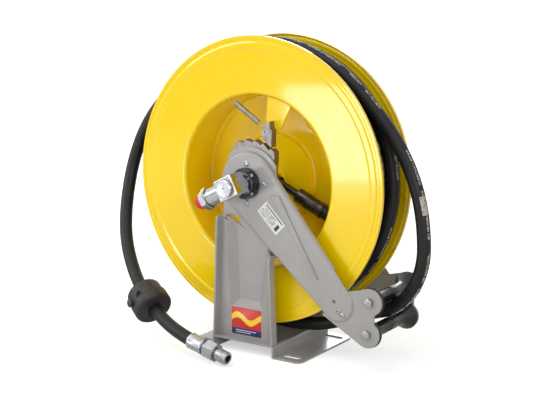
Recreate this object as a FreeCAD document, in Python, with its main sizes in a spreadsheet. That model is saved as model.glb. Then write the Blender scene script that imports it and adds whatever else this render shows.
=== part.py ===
"""Spring-driven fire hose reel: floor frame, drum with its hose, roller outlet and swivel inlet.

Units are millimetres. Z is up and the floor is z = 0. The axle lies along Y; the side with the
swivel faces -Y, and the roller outlet is at +X. Pieces carried by the axle are drawn round it.
"""
import FreeCAD, Part
import math
import os
import re

import Sketcher
from FreeCAD import Placement, Rotation, Vector

SIZES = {
    # Frame: distances of its sheets from the middle plane, and their common thickness
    "axle_height": 274.4,
    "sheet_wall": 3.0,
    "hub_plate_front": 62.0,
    "border_front": 73.3,
    "fold_front": 84.3,
    # Base
    "platform_height": 21.2,
    "channel_width": 118.8,
    "foot_reach": 108.6,
    "foot_corner": 12.0,
    "bend_radius": 4.0,
    "slot_length": 35.0,
    "slot_width": 12.0,
    "slot_edge": 26.6,
    "slot_place_y": 63.5,
    # Uprights: half widths, and heights given as drops below the axle
    "upright_foot": 57.5,
    "upright_waist": 52.0,
    "upright_shoulder": 50.0,
    "upright_head": 57.6,
    "head_start": 30.0,
    "head_end": 130.0,
    "left_neck": 10.0,
    "left_fold_drop": 55.0,
    "right_fold_drop": 112.0,
    "fold_corner": 7.0,
    "recess_left": 38.6,
    "recess_right": 48.5,
    "recess_foot": 31.0,
    "recess_top_left": 45.0,
    "recess_top_right": 92.0,
    "recess_bottom": 205.0,
    "recess_slope": 49.0,
    "recess_lip": 1.2,
    # Guide arms
    "arm_rim": 8.0,
    "arm_hub": 49.5,
    "arm_tip": 28.0,
    "arm_reach": 166.0,
    "arm_drop": 172.0,
    "arm_edge": 4.5,
    "arm_notch": 196.0,
    "rib_height": 2.5,
    "rib_left": 45.0,
    "rib_right": 62.0,
    "rib_top": 15.0,
    "rib_tip_x": 133.0,
    "rib_tip_z": 137.0,
    "arm_bolt_x": 170.0,
    "arm_bolt_z": 181.5,
    "arm_bolt_pitch_x": 6.5,
    "arm_bolt_pitch_z": 6.0,
    "arm_bolt_head": 3.9,
    "arm_bolt_shank": 2.0,
    "arm_hole_x": 161.6,
    "arm_hole_z": 168.0,
    "arm_hole": 3.0,
    # Roller outlet
    "upper_roller_x": 220.5,
    "upper_roller_z": 161.5,
    "lower_roller_x": 217.0,
    "lower_roller_z": 212.0,
    "bracket_lobe": 21.0,
    "bracket_waist": 229.0,
    "bracket_waist_rise": 14.0,
    "bracket_tail_x": 140.0,
    "bracket_tail_z": 193.0,
    "bracket_tail_top_x": 158.0,
    "bracket_tail_top_z": 156.0,
    "roller_half": 62.0,
    "roller_rim": 59.0,
    "roller_body_half": 33.0,
    "roller_body": 10.5,
    "roller_end": 22.0,
    "roller_pin": 5.0,
    "running_gap": 0.05,
    "bolt_across": 13.0,
    "bolt_head": 5.3,
    "bolt_tail": 2.0,
    # Bearings and screws
    "bearing_flange": 25.0,
    "bearing_flange_depth": 6.0,
    "bearing_neck": 17.0,
    "bearing_screw_ring": 20.5,
    "bearing_screw_head": 2.8,
    "bearing_screw_depth": 1.6,
    "hub_screw_ring": 32.0,
    "hub_screw_head": 5.0,
    "hub_screw_depth": 2.0,
    "hub_screw_shank": 3.0,
    "screw_gap": 0.1,
    "body_gap": 0.3,
    # Ratchet and pawl
    "ratchet_back": 45.0,
    "ratchet_tip": 68.5,
    "ratchet_valley": 63.5,
    "ratchet_first": 112.8,
    "ratchet_pitch": 14.4,
    "ratchet_teeth": 5,
    "ratchet_shoulder": 9.6,
    "ratchet_undercut": 2.2,
    "ratchet_root": 40.0,
    "ratchet_right": 45.0,
    "ratchet_stop": 51.0,
    "pawl_x": 27.2,
    "pawl_z": 82.9,
    "pawl_front": 58.0,
    "pawl_back": 44.0,
    "pawl_pin": 3.0,
    "pawl_pin_head": 5.0,
    "pawl_pin_head_depth": 1.5,
    "pawl_boss": 11.0,
    "bracket_front": 40.0,
    "bracket_plate": 4.0,
    "bracket_foot": 14.0,
    "bracket_seat_gap": 0.9,
    "bracket_left_angle": 81.5,
    "bracket_right_angle": 62.7,
    # Drum
    "drum_radius": 230.0,
    "rim_face": 47.4,
    "flange_face": 46.3,
    "flange_sheet": 2.0,
    "rim_lip": 5.0,
    "curl_width": 4.0,
    "groove_outer": 6.0,
    "groove_inner": 9.0,
    "bead_outer": 12.0,
    "bead_inner": 19.0,
    "step_width": 23.0,
    "well_radius": 138.0,
    "well_draft": 3.0,
    "well_wall": 2.0,
    "well_lip": 40.0,
    "mouth_round": 6.0,
    "disc_face": 20.0,
    "disc_round": 5.0,
    "boss_radius": 68.0,
    "boss_slope": 3.0,
    "boss_face": 12.0,
    "hub_boss": 17.5,
    "hub_boss_face": 7.0,
    "case_joint": 44.3,
    # Shaft, power spring and cover
    "shaft_radius": 12.0,
    "shaft_front": 94.0,
    "shaft_bore": 5.0,
    "shaft_bore_end": 5.0,
    "shaft_collar": 17.0,
    "shaft_collar_end": 24.0,
    "arbor_radius": 9.0,
    "arbor_start": 12.5,
    "arbor_end": 79.0,
    "rear_bush": 14.0,
    "rear_bush_start": 43.0,
    "circlip_radius": 17.0,
    "circlip_depth": 1.5,
    "spring_strip": 1.5,
    "spring_pitch": 7.0,
    "spring_turns": 15,
    "spring_width": 17.0,
    "spring_first": 11.0,
    "cover_screw_ring": 122.0,
    "cover_screw_head": 4.0,
    "cover_screw_depth": 1.1,
    # Hose
    "hose_radius": 10.75,
    "pack_front": 44.0,
    "inner_layers_gap": 0.3,
    "inner_layers_radius": 181.2,
    "winding_radius": 192.25,
    "winding_pitch": 22.2,
    "winding_strands": 4,
    "winding_start": -30.0,
    # Inner end of the hose
    "feed_angle": -25.0,
    "feed_radius": 6.5,
    "feed_nut": 12.0,
    "feed_nut_start": 58.0,
    "feed_ferrule_start": 76.0,
    "feed_ferrule": 12.5,
    "feed_hose_start": 110.0,
    "feed_hole_gap": 0.3,
    # Fittings on the free hose
    "stop_radius": 32.0,
    "stop_length": 46.0,
    "stop_edge": 9.0,
    "stop_bolt_head": 5.0,
    "ferrule_radius": 13.2,
    "ferrule_start": -22.0,
    "ferrule_end": 8.0,
    "fitting_neck": 9.5,
    "fitting_hex": 27.0,
    "fitting_hex_start": 12.0,
    "fitting_hex_end": 33.0,
    "fitting_collar": 8.6,
    "thread_radius": 10.48,
    "thread_start": 37.0,
    "thread_end": 57.0,
    "fitting_bore": 6.5,
    # Swivel inlet
    "inlet_angle": 27.0,
    "block_front": 128.0,
    "block_back": 95.0,
    "block_length": 36.0,
    "block_width": 34.0,
    "block_edge": 1.5,
    "neck_radius": 16.0,
    "plug_radius": 14.5,
    "plug_depth": 6.0,
    "inlet_boss": 14.5,
    "inlet_boss_end": 43.0,
    "inlet_groove": 12.0,
    "inlet_groove_end": 45.5,
    "inlet_ring": 15.5,
    "inlet_ring_end": 57.0,
    "inlet_port": 9.6,
    "inlet_port_depth": 12.0,
    "inlet_bore": 6.0,
    "cap_radius": 12.5,
    "cap_height": 14.5,
    "cap_dome": 8.0,
    "cap_stem": 8.6,
    "cap_stem_depth": 10.0,
    # Spring of the pawl
    "pawl_spring_wire": 0.6,
    "pawl_spring_radius": 3.7,
    "pawl_spring_pitch": 1.9,
    "pawl_spring_turns": 30,
    "pawl_spring_tail": 1.3,
    "pawl_spring_angle": 111.8,
    "pawl_spring_depth": 38.5,
    "pawl_spring_reach": 7.2,
    "pawl_spring_rise": 5.7,
}

# Route of the free hose from the axle: off the pack to the hose stop, and on to the crimped end.
# The stop sits in the middle of the run that joins the two lists.
ROUTE_TO_STOP = [
    (-149, 0, -156), (-103, 0, -199), (-40, 0, -228), (34, 0, -238), (104, 0, -231),
    (169, 0, -203), (240, 0, -182), (277, 0, -120), (276, 0, -52), (263, 0, 8), (236, 0, 64),
    (191, 0, 121), (126, 0, 182), (45, 0, 216), (-40, 0, 216), (-124, 0, 185), (-196, 0, 137),
    (-250, -4, 80), (-276, -14, 14), (-274, -38, -52), (-254, -68, -106), (-228, -88, -148),
    (-192, -107, -186),
]
ROUTE_FROM_STOP = [(-134, -131, -221), (-76, -145, -242), (-33, -149.4, -250.3)]
# Share of the shorter run that a bend takes on each side of its point
BEND_SHARE = 0.45

# Corners of the pawl from its pivot
PAWL_OUTLINE = [
    (-7.0, -2.0), (-3.5, -13.9), (11.5, -24.7), (12.4, 3.0), (9.0, 3.8), (8.2, 15.9), (3.5, 13.5),
    (-4.5, 7.0),
]
# Points that a stretch of tube is sampled at when its turns are checked against each other
SAMPLES_PER_EDGE = 12
SAMPLES_PER_TURN = 16

doc = FreeCAD.newDocument("fire_hose_reel")
sheet = doc.addObject("Spreadsheet::Sheet", "Sizes")
for row, (alias, number) in enumerate(SIZES.items(), 1):
    sheet.set(f"A{row}", alias)
    sheet.set(f"B{row}", str(number))
    sheet.setAlias(f"B{row}", alias)
doc.recompute()

ALIAS = re.compile(r"\b(" + "|".join(sorted(SIZES, key=len, reverse=True)) + r")\b")
nodes = []


def bound(expression):
    """The expression with every size read from the sheet."""
    return ALIAS.sub(r"Sizes.\1", expression)


def size(expression):
    """The expression's present value."""
    return float(sheet.evalExpression(bound(expression)))


def place(owner, x="0", y="0", z="axle_height"):
    for axis, value in zip("xyz", (x, y, z)):
        owner.setExpression(f"Placement.Base.{axis}", bound(value))


def new_body(name, x="0", y="0", z="axle_height", kept=True):
    """A body whose origin is on the axle, unless it is told otherwise."""
    owner = doc.addObject("PartDesign::Body", name)
    owner.Label = name
    place(owner, x, y, z)
    if kept:
        nodes.append(owner)
    return owner


def new_sketch(owner, name, plane, offset="0"):
    sketch = owner.newObject("Sketcher::SketchObject", name)
    support = [item for item in owner.Origin.OriginFeatures if item.Role == plane][0]
    sketch.AttachmentSupport = [(support, "")]
    sketch.MapMode = "FlatFace"
    sketch.setExpression("AttachmentOffset.Base.z", bound(offset))
    return sketch


def constrain(sketch, kind, where, expression):
    """A constraint whose value follows the sheet."""
    index = sketch.addConstraint(Sketcher.Constraint(kind, *where, size(expression)))
    sketch.setExpression(f"Constraints[{index}]", bound(expression))


def add_outline(sketch, points):
    """Closed outline. A point with a radius and a side starts an arc that bulges to that side."""
    corners = [Vector(size(point[0]), size(point[1]), 0) for point in points]
    ends = []
    for number, point in enumerate(points):
        here = corners[number]
        there = corners[(number + 1) % len(corners)]
        if len(point) == 2:
            edge = sketch.addGeometry(Part.LineSegment(here, there))
            ends.append((edge, 1, 2))
            continue
        radius, side = size(point[2]), point[3]
        chord = there - here
        left = Vector(-chord.y, chord.x, 0).normalize()
        depth = math.sqrt(radius ** 2 - chord.Length ** 2 / 4)
        centre = (here + there) / 2 + left * depth * side
        angles = [math.atan2(end.y - centre.y, end.x - centre.x) for end in (here, there)]
        if side < 0:
            angles.reverse()
        edge = sketch.addGeometry(Part.ArcOfCircle(Part.Circle(centre, Vector(0, 0, 1), radius), *angles))
        ends.append((edge, 1, 2) if side > 0 else (edge, 2, 1))
    for number, (edge, start, end) in enumerate(ends):
        following = ends[(number + 1) % len(ends)]
        sketch.addConstraint(Sketcher.Constraint("Coincident", edge, end, following[0], following[1]))
        constrain(sketch, "DistanceX", (-1, 1, edge, start), points[number][0])
        constrain(sketch, "DistanceY", (-1, 1, edge, start), points[number][1])
        if len(points[number]) > 2:
            constrain(sketch, "Radius", (edge,), points[number][2])


def add_circles(sketch, circles):
    for x, z, radius in circles:
        centre = Vector(size(x), size(z), 0)
        edge = sketch.addGeometry(Part.Circle(centre, Vector(0, 0, 1), size(radius)))
        constrain(sketch, "DistanceX", (-1, 1, edge, 3), x)
        constrain(sketch, "DistanceY", (-1, 1, edge, 3), z)
        constrain(sketch, "Radius", (edge,), radius)


def add_capsule(sketch, x, z, big, small):
    """Outline round a circle at the origin and one at (x, z), joined by tangent lines."""
    far = Vector(size(x), size(z), 0)
    radii = (size(big), size(small))
    lean = math.atan2(far.y, far.x)
    half = math.acos((radii[0] - radii[1]) / far.Length)
    up = Vector(0, 0, 1)
    hub = Part.ArcOfCircle(Part.Circle(Vector(), up, radii[0]), lean + half, lean - half + 2 * math.pi)
    tip = Part.ArcOfCircle(Part.Circle(far, up, radii[1]), lean - half, lean + half)
    hub_edge = sketch.addGeometry(hub)
    lower = sketch.addGeometry(Part.LineSegment(hub.EndPoint, tip.StartPoint))
    tip_edge = sketch.addGeometry(tip)
    upper = sketch.addGeometry(Part.LineSegment(tip.EndPoint, hub.StartPoint))
    loop = (hub_edge, lower, tip_edge, upper)
    for edge, following in zip(loop, loop[1:] + loop[:1]):
        sketch.addConstraint(Sketcher.Constraint("Tangent", edge, 2, following, 1))
    sketch.addConstraint(Sketcher.Constraint("Coincident", hub_edge, 3, -1, 1))
    constrain(sketch, "DistanceX", (-1, 1, tip_edge, 3), x)
    constrain(sketch, "DistanceY", (-1, 1, tip_edge, 3), z)
    constrain(sketch, "Radius", (hub_edge,), big)
    constrain(sketch, "Radius", (tip_edge,), small)


def slab(owner, name, start, end, outline=(), circles=(), capsule=None, cut=False, taper=None):
    """Material, or a cut, between two places along Y, drawn as seen from the front."""
    sketch = new_sketch(owner, name + "_sketch", "XZ_Plane", f"-({start})")
    if capsule:
        add_capsule(sketch, *capsule)
    if outline:
        add_outline(sketch, outline)
    add_circles(sketch, circles)
    feature = owner.newObject("PartDesign::Pocket" if cut else "PartDesign::Pad", name)
    feature.Profile = sketch
    feature.setExpression("Length", bound(f"abs(({end}) - ({start}))"))
    rearward = size(end) > size(start)
    feature.Reversed = rearward != cut
    if taper:
        feature.setExpression("TaperAngle", bound(taper))
    return feature


def turned(owner, name, profile):
    """Material turned round the body's own Y axis from (radius, y) points."""
    sketch = new_sketch(owner, name + "_sketch", "XY_Plane")
    add_outline(sketch, profile)
    feature = owner.newObject("PartDesign::Revolution", name)
    feature.Profile = sketch
    feature.ReferenceAxis = (sketch, ["V_Axis"])
    feature.Angle = 360
    return feature


def round_off(owner, name, radius, picked):
    """Fillet on the edges for which picked(edge) holds."""
    doc.recompute()
    base = owner.Tip
    edges = [f"Edge{number}" for number, edge in enumerate(base.Shape.Edges, 1) if picked(edge)]
    feature = owner.newObject("PartDesign::Fillet", name)
    feature.Base = (base, edges)
    feature.setExpression("Radius", bound(radius))


def runs_along(edge, axis):
    """Whether a straight edge is parallel to the axis."""
    ends = edge.Vertexes
    if len(ends) < 2 or edge.Curve.TypeId != "Part::GeomLine":
        return False
    step = (ends[1].Point - ends[0].Point).normalize()
    return abs(step.dot(axis)) > 0.999


def near(value, expression, slack=0.01):
    return abs(value - size(expression)) < slack


def mirrored(source, name):
    copy = doc.addObject("Part::Mirroring", name)
    copy.Label = name
    copy.Source = source
    copy.Normal = (0, 1, 0)
    nodes.append(copy)


def hexagon(x, z, across):
    """Corners of a hexagon with the given distance across its flats."""
    corner = f"{across} / (2 * cos(30))"
    return [(f"{x} + {corner} * cos({angle})", f"{z} + {corner} * sin({angle})")
            for angle in range(0, 360, 60)]


def box_outline(left, right, bottom, top):
    return [(left, bottom), (right, bottom), (right, top), (left, top)]


def solid_node(name, shape, lift=True):
    """A node whose shape is worked out here, round the axle."""
    feature = doc.addObject("Part::Feature", name)
    feature.Label = name
    feature.Shape = shape
    if lift:
        place(feature)
    nodes.append(feature)
    return feature


def boolean(kind, name, base, tool):
    """Cut or Common of two objects, kept as a node."""
    feature = doc.addObject(f"Part::{kind}", name)
    feature.Label = name
    feature.Base = base
    feature.Tool = tool
    nodes.append(feature)
    return feature


def arc_edge(start, heading, end):
    """Arc from start, leaving along the unit vector heading, to end."""
    chord = end - start
    sideways = heading - chord * (heading.dot(chord) / chord.dot(chord))
    if sideways.Length < 1e-9:
        return Part.LineSegment(start, end).toShape()
    rise = chord.Length / 2 * math.tan(heading.getAngle(chord) / 2)
    middle = (start + end) / 2 + sideways.normalize() * rise
    return Part.Arc(start, middle, end).toShape()


def biarc(start, heading, end, leaving):
    """Two arcs that leave start along heading and reach end along leaving."""
    step = end - start
    both = heading + leaving
    spread = 2 * (1 - heading.dot(leaving))
    along = step.dot(both)
    reach = (math.sqrt(along ** 2 + spread * step.dot(step)) - along) / spread
    joint = (start + heading * reach + end - leaving * reach) / 2
    turn_back = (leaving * -1)
    first = arc_edge(start, heading, joint)
    second = arc_edge(end, turn_back, joint)
    return [first, second]


def tube(edges, radius):
    """Round bar of the given radius along joined edges, as one unbroken solid."""
    path = Part.Wire(Part.__sortEdges__(edges))
    start = path.OrderedEdges[0]
    point = path.OrderedVertexes[0].Point
    heading = start.tangentAt(start.FirstParameter)
    if (start.valueAt(start.FirstParameter) - point).Length > 1e-6:
        heading = start.tangentAt(start.LastParameter) * -1
    section = Part.Wire(Part.makeCircle(radius, point, heading))
    solid = path.makePipeShell([section], True, False)
    wanted = math.pi * radius ** 2 * path.Length
    print(f"tube length {path.Length:.1f}, volume {solid.Volume:.0f}, section times length {wanted:.0f}")
    return solid


def least_gap(points, radius, apart):
    """Least space between stretches of one tube that are more than apart points from each other."""
    closest = min((points[i] - points[j]).Length
                  for i in range(len(points)) for j in range(i + apart, len(points)))
    return closest - 2 * radius


PLATFORM = "(platform_height - axle_height)"
HUB_BACK = "-(hub_plate_front - sheet_wall)"
BORDER_BACK = "-(border_front - sheet_wall)"
ARM_FRONT = "-(hub_plate_front + arm_rim)"
ARM_BACK = "-(hub_plate_front + arm_rim - sheet_wall)"
BRACKET_BACK = "-(hub_plate_front + arm_rim - 2 * sheet_wall)"
BEARING_FRONT = "-(hub_plate_front + arm_rim + bearing_flange_depth)"
X_AXIS, Y_AXIS, Z_AXIS = Vector(1, 0, 0), Vector(0, 1, 0), Vector(0, 0, 1)


def ring_of_four(ring, radius, turn=0):
    """Four circles round the axle."""
    return [(f"{ring} * cos({angle})", f"{ring} * sin({angle})", radius)
            for angle in range(turn, turn + 360, 90)]


def make_base():
    """Bridge-shaped pressing: two feet with slots, and a platform that is open underneath."""
    owner = new_body("base_plate", z="0")
    half = "channel_width / 2"
    inner = "(channel_width / 2 - sheet_wall)"
    outline = [("-foot_reach", "0"), (f"-{inner}", "0"), (f"-{inner}", "platform_height - sheet_wall"),
               (inner, "platform_height - sheet_wall"), (inner, "0"), ("foot_reach", "0"),
               ("foot_reach", "sheet_wall"), (half, "sheet_wall"), (half, "platform_height"),
               (f"-{half}", "platform_height"), (f"-{half}", "sheet_wall"), ("-foot_reach", "sheet_wall")]
    slab(owner, "base_sheet", "fold_front", "-fold_front", outline)
    round_off(owner, "base_corners", "foot_corner",
              lambda edge: runs_along(edge, Z_AXIS) and near(abs(edge.CenterOfMass.x), "foot_reach"))
    round_off(owner, "base_bends", "bend_radius",
              lambda edge: runs_along(edge, Y_AXIS) and near(abs(edge.CenterOfMass.x), half)
              and near(edge.CenterOfMass.z, "platform_height"))
    doc.recompute()
    slots = new_sketch(owner, "slots_sketch", "XY_Plane")
    slot_x = "(foot_reach - slot_edge)"
    straight = "(slot_length - slot_width) / 2"
    rounds = []
    for side_x in "-+":
        for side_y in "-+":
            left = f"{side_x}{slot_x} - {straight}"
            right = f"{side_x}{slot_x} + {straight}"
            centre = f"{side_y}slot_place_y"
            add_outline(slots, box_outline(left, right, f"{centre} - slot_width / 2",
                                           f"{centre} + slot_width / 2"))
            rounds += [(left, centre, "slot_width / 2"), (right, centre, "slot_width / 2")]
    cut_slots(owner, "slot_middles", slots)
    for name, circles in (("left", rounds[0::2]), ("right", rounds[1::2])):
        ends = new_sketch(owner, f"slot_{name}_ends_sketch", "XY_Plane")
        add_circles(ends, circles)
        cut_slots(owner, f"slot_{name}_ends", ends)


def cut_slots(owner, name, sketch):
    """Cut through the feet, upward from the floor."""
    feature = owner.newObject("PartDesign::Pocket", name)
    feature.Profile = sketch
    feature.Reversed = True
    feature.setExpression("Length", bound("sheet_wall"))


def make_upright():
    """Front upright: bordered sheet with two folds, stepped back at the hub and in a recess."""
    owner = new_body("front_upright")
    mouth = [("-recess_left", "-recess_top_left"), ("-recess_foot", "-recess_bottom"),
             ("recess_foot", "-recess_bottom"), ("recess_right", "-recess_top_right")]
    border = [("-upright_foot", PLATFORM), ("upright_foot", PLATFORM), ("upright_waist", "-right_fold_drop"),
              ("-upright_shoulder", "-left_fold_drop")]
    slab(owner, "border", "-border_front", BORDER_BACK, border)
    lip = [("-recess_left - recess_lip", "-recess_top_left"),
           ("-recess_foot - recess_lip", "-recess_bottom - recess_lip"),
           ("recess_foot + recess_lip", "-recess_bottom - recess_lip"),
           ("recess_right + recess_lip", "-recess_top_right")]
    slab(owner, "recess_walls", BORDER_BACK, HUB_BACK, lip, taper="-recess_slope")
    slab(owner, "recess", "-border_front", "-hub_plate_front", mouth, cut=True, taper="-recess_slope")
    slab(owner, "left_step", "-border_front", HUB_BACK,
         box_outline("-upright_shoulder", "-recess_left", "-left_fold_drop - sheet_wall", "-left_fold_drop"))
    slab(owner, "right_step", "-border_front", HUB_BACK,
         box_outline("recess_right - sheet_wall", "upright_waist", "-right_fold_drop - sheet_wall",
                     "-right_fold_drop"))
    clear = [("-upright_foot - sheet_wall", "-left_fold_drop"), ("-recess_left", "-left_fold_drop"),
             ("upright_shoulder - sheet_wall", "-right_fold_drop"),
             ("upright_foot + sheet_wall", "-right_fold_drop"), ("upright_foot + sheet_wall", "0"),
             ("-upright_foot - sheet_wall", "0")]
    slab(owner, "hub_clearance", "-hub_plate_front", "-fold_front", clear, cut=True)
    floor_half = "(recess_foot - (border_front - hub_plate_front) * tan(recess_slope))"
    floor_bottom = "-(recess_bottom - (border_front - hub_plate_front) * tan(recess_slope))"
    hub = [(f"-{floor_half}", floor_bottom), (floor_half, floor_bottom),
           ("upright_shoulder - sheet_wall", "-right_fold_drop"), ("upright_shoulder", "-right_fold_drop"),
           ("upright_head * cos(head_start)", "upright_head * sin(head_start)", "upright_head", 1),
           ("upright_head * cos(head_end)", "upright_head * sin(head_end)"),
           ("-upright_shoulder", "left_neck"), ("-upright_shoulder", "-left_fold_drop"),
           (f"-{floor_half}", "-left_fold_drop - sheet_wall")]
    slab(owner, "hub_plate", "-hub_plate_front", HUB_BACK, hub)
    left_fold = [("-upright_foot", PLATFORM), ("-upright_foot + sheet_wall", PLATFORM),
                 ("-upright_shoulder + sheet_wall", "-left_fold_drop"),
                 ("-upright_shoulder", "-left_fold_drop")]
    right_fold = [("upright_foot", PLATFORM), ("upright_waist", "-right_fold_drop"),
                  ("upright_waist - sheet_wall", "-right_fold_drop"), ("upright_foot - sheet_wall", PLATFORM)]
    slab(owner, "left_fold", "-fold_front", BORDER_BACK, left_fold)
    slab(owner, "right_fold", "-fold_front", BORDER_BACK, right_fold)
    round_off(owner, "fold_corners", "fold_corner",
              lambda edge: runs_along(edge, X_AXIS) and near(edge.CenterOfMass.y, "-fold_front")
              and edge.CenterOfMass.z > size(PLATFORM) + 1)
    slab(owner, "bearing_hole", HUB_BACK, "-hub_plate_front", cut=True,
         circles=[("0", "0", "bearing_neck + screw_gap")])
    slab(owner, "screw_holes", HUB_BACK, "-hub_plate_front",
         circles=ring_of_four("hub_screw_ring", "hub_screw_shank + screw_gap"), cut=True)
    mirrored(owner, "rear_upright")


def make_guide_arm():
    """Front guide arm: pan from the hub to the roller outlet, with a raised rib."""
    owner = new_body("front_guide_arm")
    slab(owner, "pan", ARM_FRONT, "-hub_plate_front",
         capsule=("arm_reach", "-arm_drop", "arm_hub", "arm_tip"))
    round_off(owner, "pan_edge", "arm_edge", lambda edge: near(edge.BoundBox.YMax, ARM_FRONT))
    slab(owner, "pan_inside", "-hub_plate_front", ARM_BACK, cut=True,
         capsule=("arm_reach", "-arm_drop", "arm_hub - sheet_wall", "arm_tip - sheet_wall"))
    lean = "atan(arm_drop / arm_reach)"

    def point_on_arm(along, across):
        """Place on the arm's own lines: away from the axle, and up across it."""
        return (f"{along} * cos({lean}) + {across} * sin({lean})",
                f"-{along} * sin({lean}) + {across} * cos({lean})")

    past = "(arm_notch + 2 * arm_hub)"
    notch = [point_on_arm("arm_notch", "(-arm_hub)"), point_on_arm(past, "(-arm_hub)"),
             point_on_arm(past, "arm_hub"), point_on_arm("arm_notch", "arm_hub")]
    slab(owner, "bracket_notch", "-hub_plate_front", ARM_BACK, notch, cut=True)
    rib = [("rib_left", "-rib_top"), ("rib_tip_x", "-rib_tip_z"), ("rib_right", "-rib_top")]
    slab(owner, "rib", ARM_FRONT, f"{ARM_FRONT} - rib_height", rib)
    slab(owner, "arm_bearing_hole", ARM_BACK, ARM_FRONT, cut=True,
         circles=[("0", "0", "bearing_neck + screw_gap")])
    holes = ring_of_four("hub_screw_ring", "hub_screw_shank + screw_gap")
    holes += arm_bolt_circles("arm_bolt_shank + screw_gap")
    holes.append(("arm_hole_x", "-arm_hole_z", "arm_hole"))
    slab(owner, "arm_holes", ARM_BACK, ARM_FRONT, circles=holes, cut=True)
    mirrored(owner, "rear_guide_arm")


def arm_bolt_circles(radius):
    return [("arm_bolt_x", "-arm_bolt_z", radius),
            ("arm_bolt_x + arm_bolt_pitch_x", "-arm_bolt_z - arm_bolt_pitch_z", radius)]


def make_roller_bracket():
    """Front roller bracket: two lobes and a tail that lies behind the arm's face."""
    owner = new_body("front_roller_bracket")
    for lobe in ("upper", "lower"):
        slab(owner, f"{lobe}_lobe", ARM_BACK, BRACKET_BACK,
             circles=[(f"{lobe}_roller_x", f"-{lobe}_roller_z", "bracket_lobe")])
    web = [("bracket_waist", "-upper_roller_z - bracket_waist_rise"), ("upper_roller_x", "-upper_roller_z"),
           ("upper_roller_x - bracket_lobe / 2", "-upper_roller_z + bracket_lobe * cos(30)"),
           ("bracket_tail_top_x", "-bracket_tail_top_z"), ("bracket_tail_x", "-bracket_tail_z"),
           ("lower_roller_x - bracket_lobe / 2", "-lower_roller_z - bracket_lobe * cos(30)"),
           ("lower_roller_x", "-lower_roller_z"), ("bracket_waist", "-lower_roller_z + bracket_waist_rise")]
    slab(owner, "web", ARM_BACK, BRACKET_BACK, web)
    holes = [("upper_roller_x", "-upper_roller_z", "roller_pin + screw_gap"),
             ("lower_roller_x", "-lower_roller_z", "roller_pin + screw_gap")]
    slab(owner, "bracket_holes", ARM_BACK, BRACKET_BACK, cut=True,
         circles=holes + arm_bolt_circles("arm_bolt_shank + screw_gap"))
    mirrored(owner, "rear_roller_bracket")


def make_roller(lobe):
    """Roller with cone ends, and the bolt and nut that it turns on."""
    x, z = f"{lobe}_roller_x", f"axle_height - {lobe}_roller_z"
    roller = new_body(f"{lobe}_roller", x=x, z=z)
    bore = "roller_pin + running_gap"
    turned(roller, f"{lobe}_roller_turned", [
        (bore, "-roller_half"), ("roller_end", "-roller_half"), ("roller_end", "-roller_rim"),
        ("roller_body", "-roller_body_half"), ("roller_body", "roller_body_half"),
        ("roller_end", "roller_rim"), ("roller_end", "roller_half"), (bore, "roller_half")])
    bolt = new_body(f"{lobe}_roller_axle", x=x, z=z)
    plate = f"(-({ARM_BACK}))"
    slab(bolt, f"{lobe}_shank", f"-{plate}", f"{plate} + bolt_head + bolt_tail",
         circles=[("0", "0", "roller_pin")])
    slab(bolt, f"{lobe}_bolt_head", f"-{plate} - bolt_head", f"-{plate}", hexagon("0", "0", "bolt_across"))
    slab(bolt, f"{lobe}_bolt_nut", plate, f"{plate} + bolt_head", hexagon("0", "0", "bolt_across"))


def make_bearing_flange(name, side, bore):
    """Round flange on the arm's face, with a neck through the arm and the upright."""
    owner = new_body(name)
    turned(owner, f"{name}_turned", [
        (bore, f"{side} * ({HUB_BACK})"), ("bearing_neck", f"{side} * ({HUB_BACK})"),
        ("bearing_neck", f"{side} * ({ARM_FRONT})"), ("bearing_flange", f"{side} * ({ARM_FRONT})"),
        ("bearing_flange", f"{side} * ({BEARING_FRONT})"), (bore, f"{side} * ({BEARING_FRONT})")])


def make_screws(name, circles, face, head_radius, depth, tip=None, shank="0"):
    """Set of round-headed screws. Face is where the heads sit, tip is where the shanks end."""
    owner = new_body(name)
    outward = "-" if size(face) < 0 else "+"
    slab(owner, f"{name}_heads", face, f"{face} {outward} {depth}",
         circles=[(x, z, head_radius) for x, z in circles])
    if tip:
        slab(owner, f"{name}_shanks", face, tip, circles=[(x, z, shank) for x, z in circles])


def make_frame_screws():
    hub = [circle[:2] for circle in ring_of_four("hub_screw_ring", "0")]
    bearing = [circle[:2] for circle in ring_of_four("bearing_screw_ring", "0", 45)]
    ends = [circle[:2] for circle in arm_bolt_circles("0")]
    for side, name in ((1, "front"), (-1, "rear")):
        hub_tip = "-ratchet_back - sheet_wall" if side > 0 else f"-({HUB_BACK})"
        make_screws(f"{name}_hub_screws", hub, f"{side} * ({ARM_FRONT})", "hub_screw_head",
                    "hub_screw_depth", hub_tip, "hub_screw_shank")
        make_screws(f"{name}_bearing_screws", bearing, f"{side} * ({BEARING_FRONT})", "bearing_screw_head",
                    "bearing_screw_depth")
        make_screws(f"{name}_arm_bolts", ends, f"{side} * ({ARM_FRONT})", "arm_bolt_head", "hub_screw_depth",
                    f"{side} * ({BRACKET_BACK})", "arm_bolt_shank")


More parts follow.
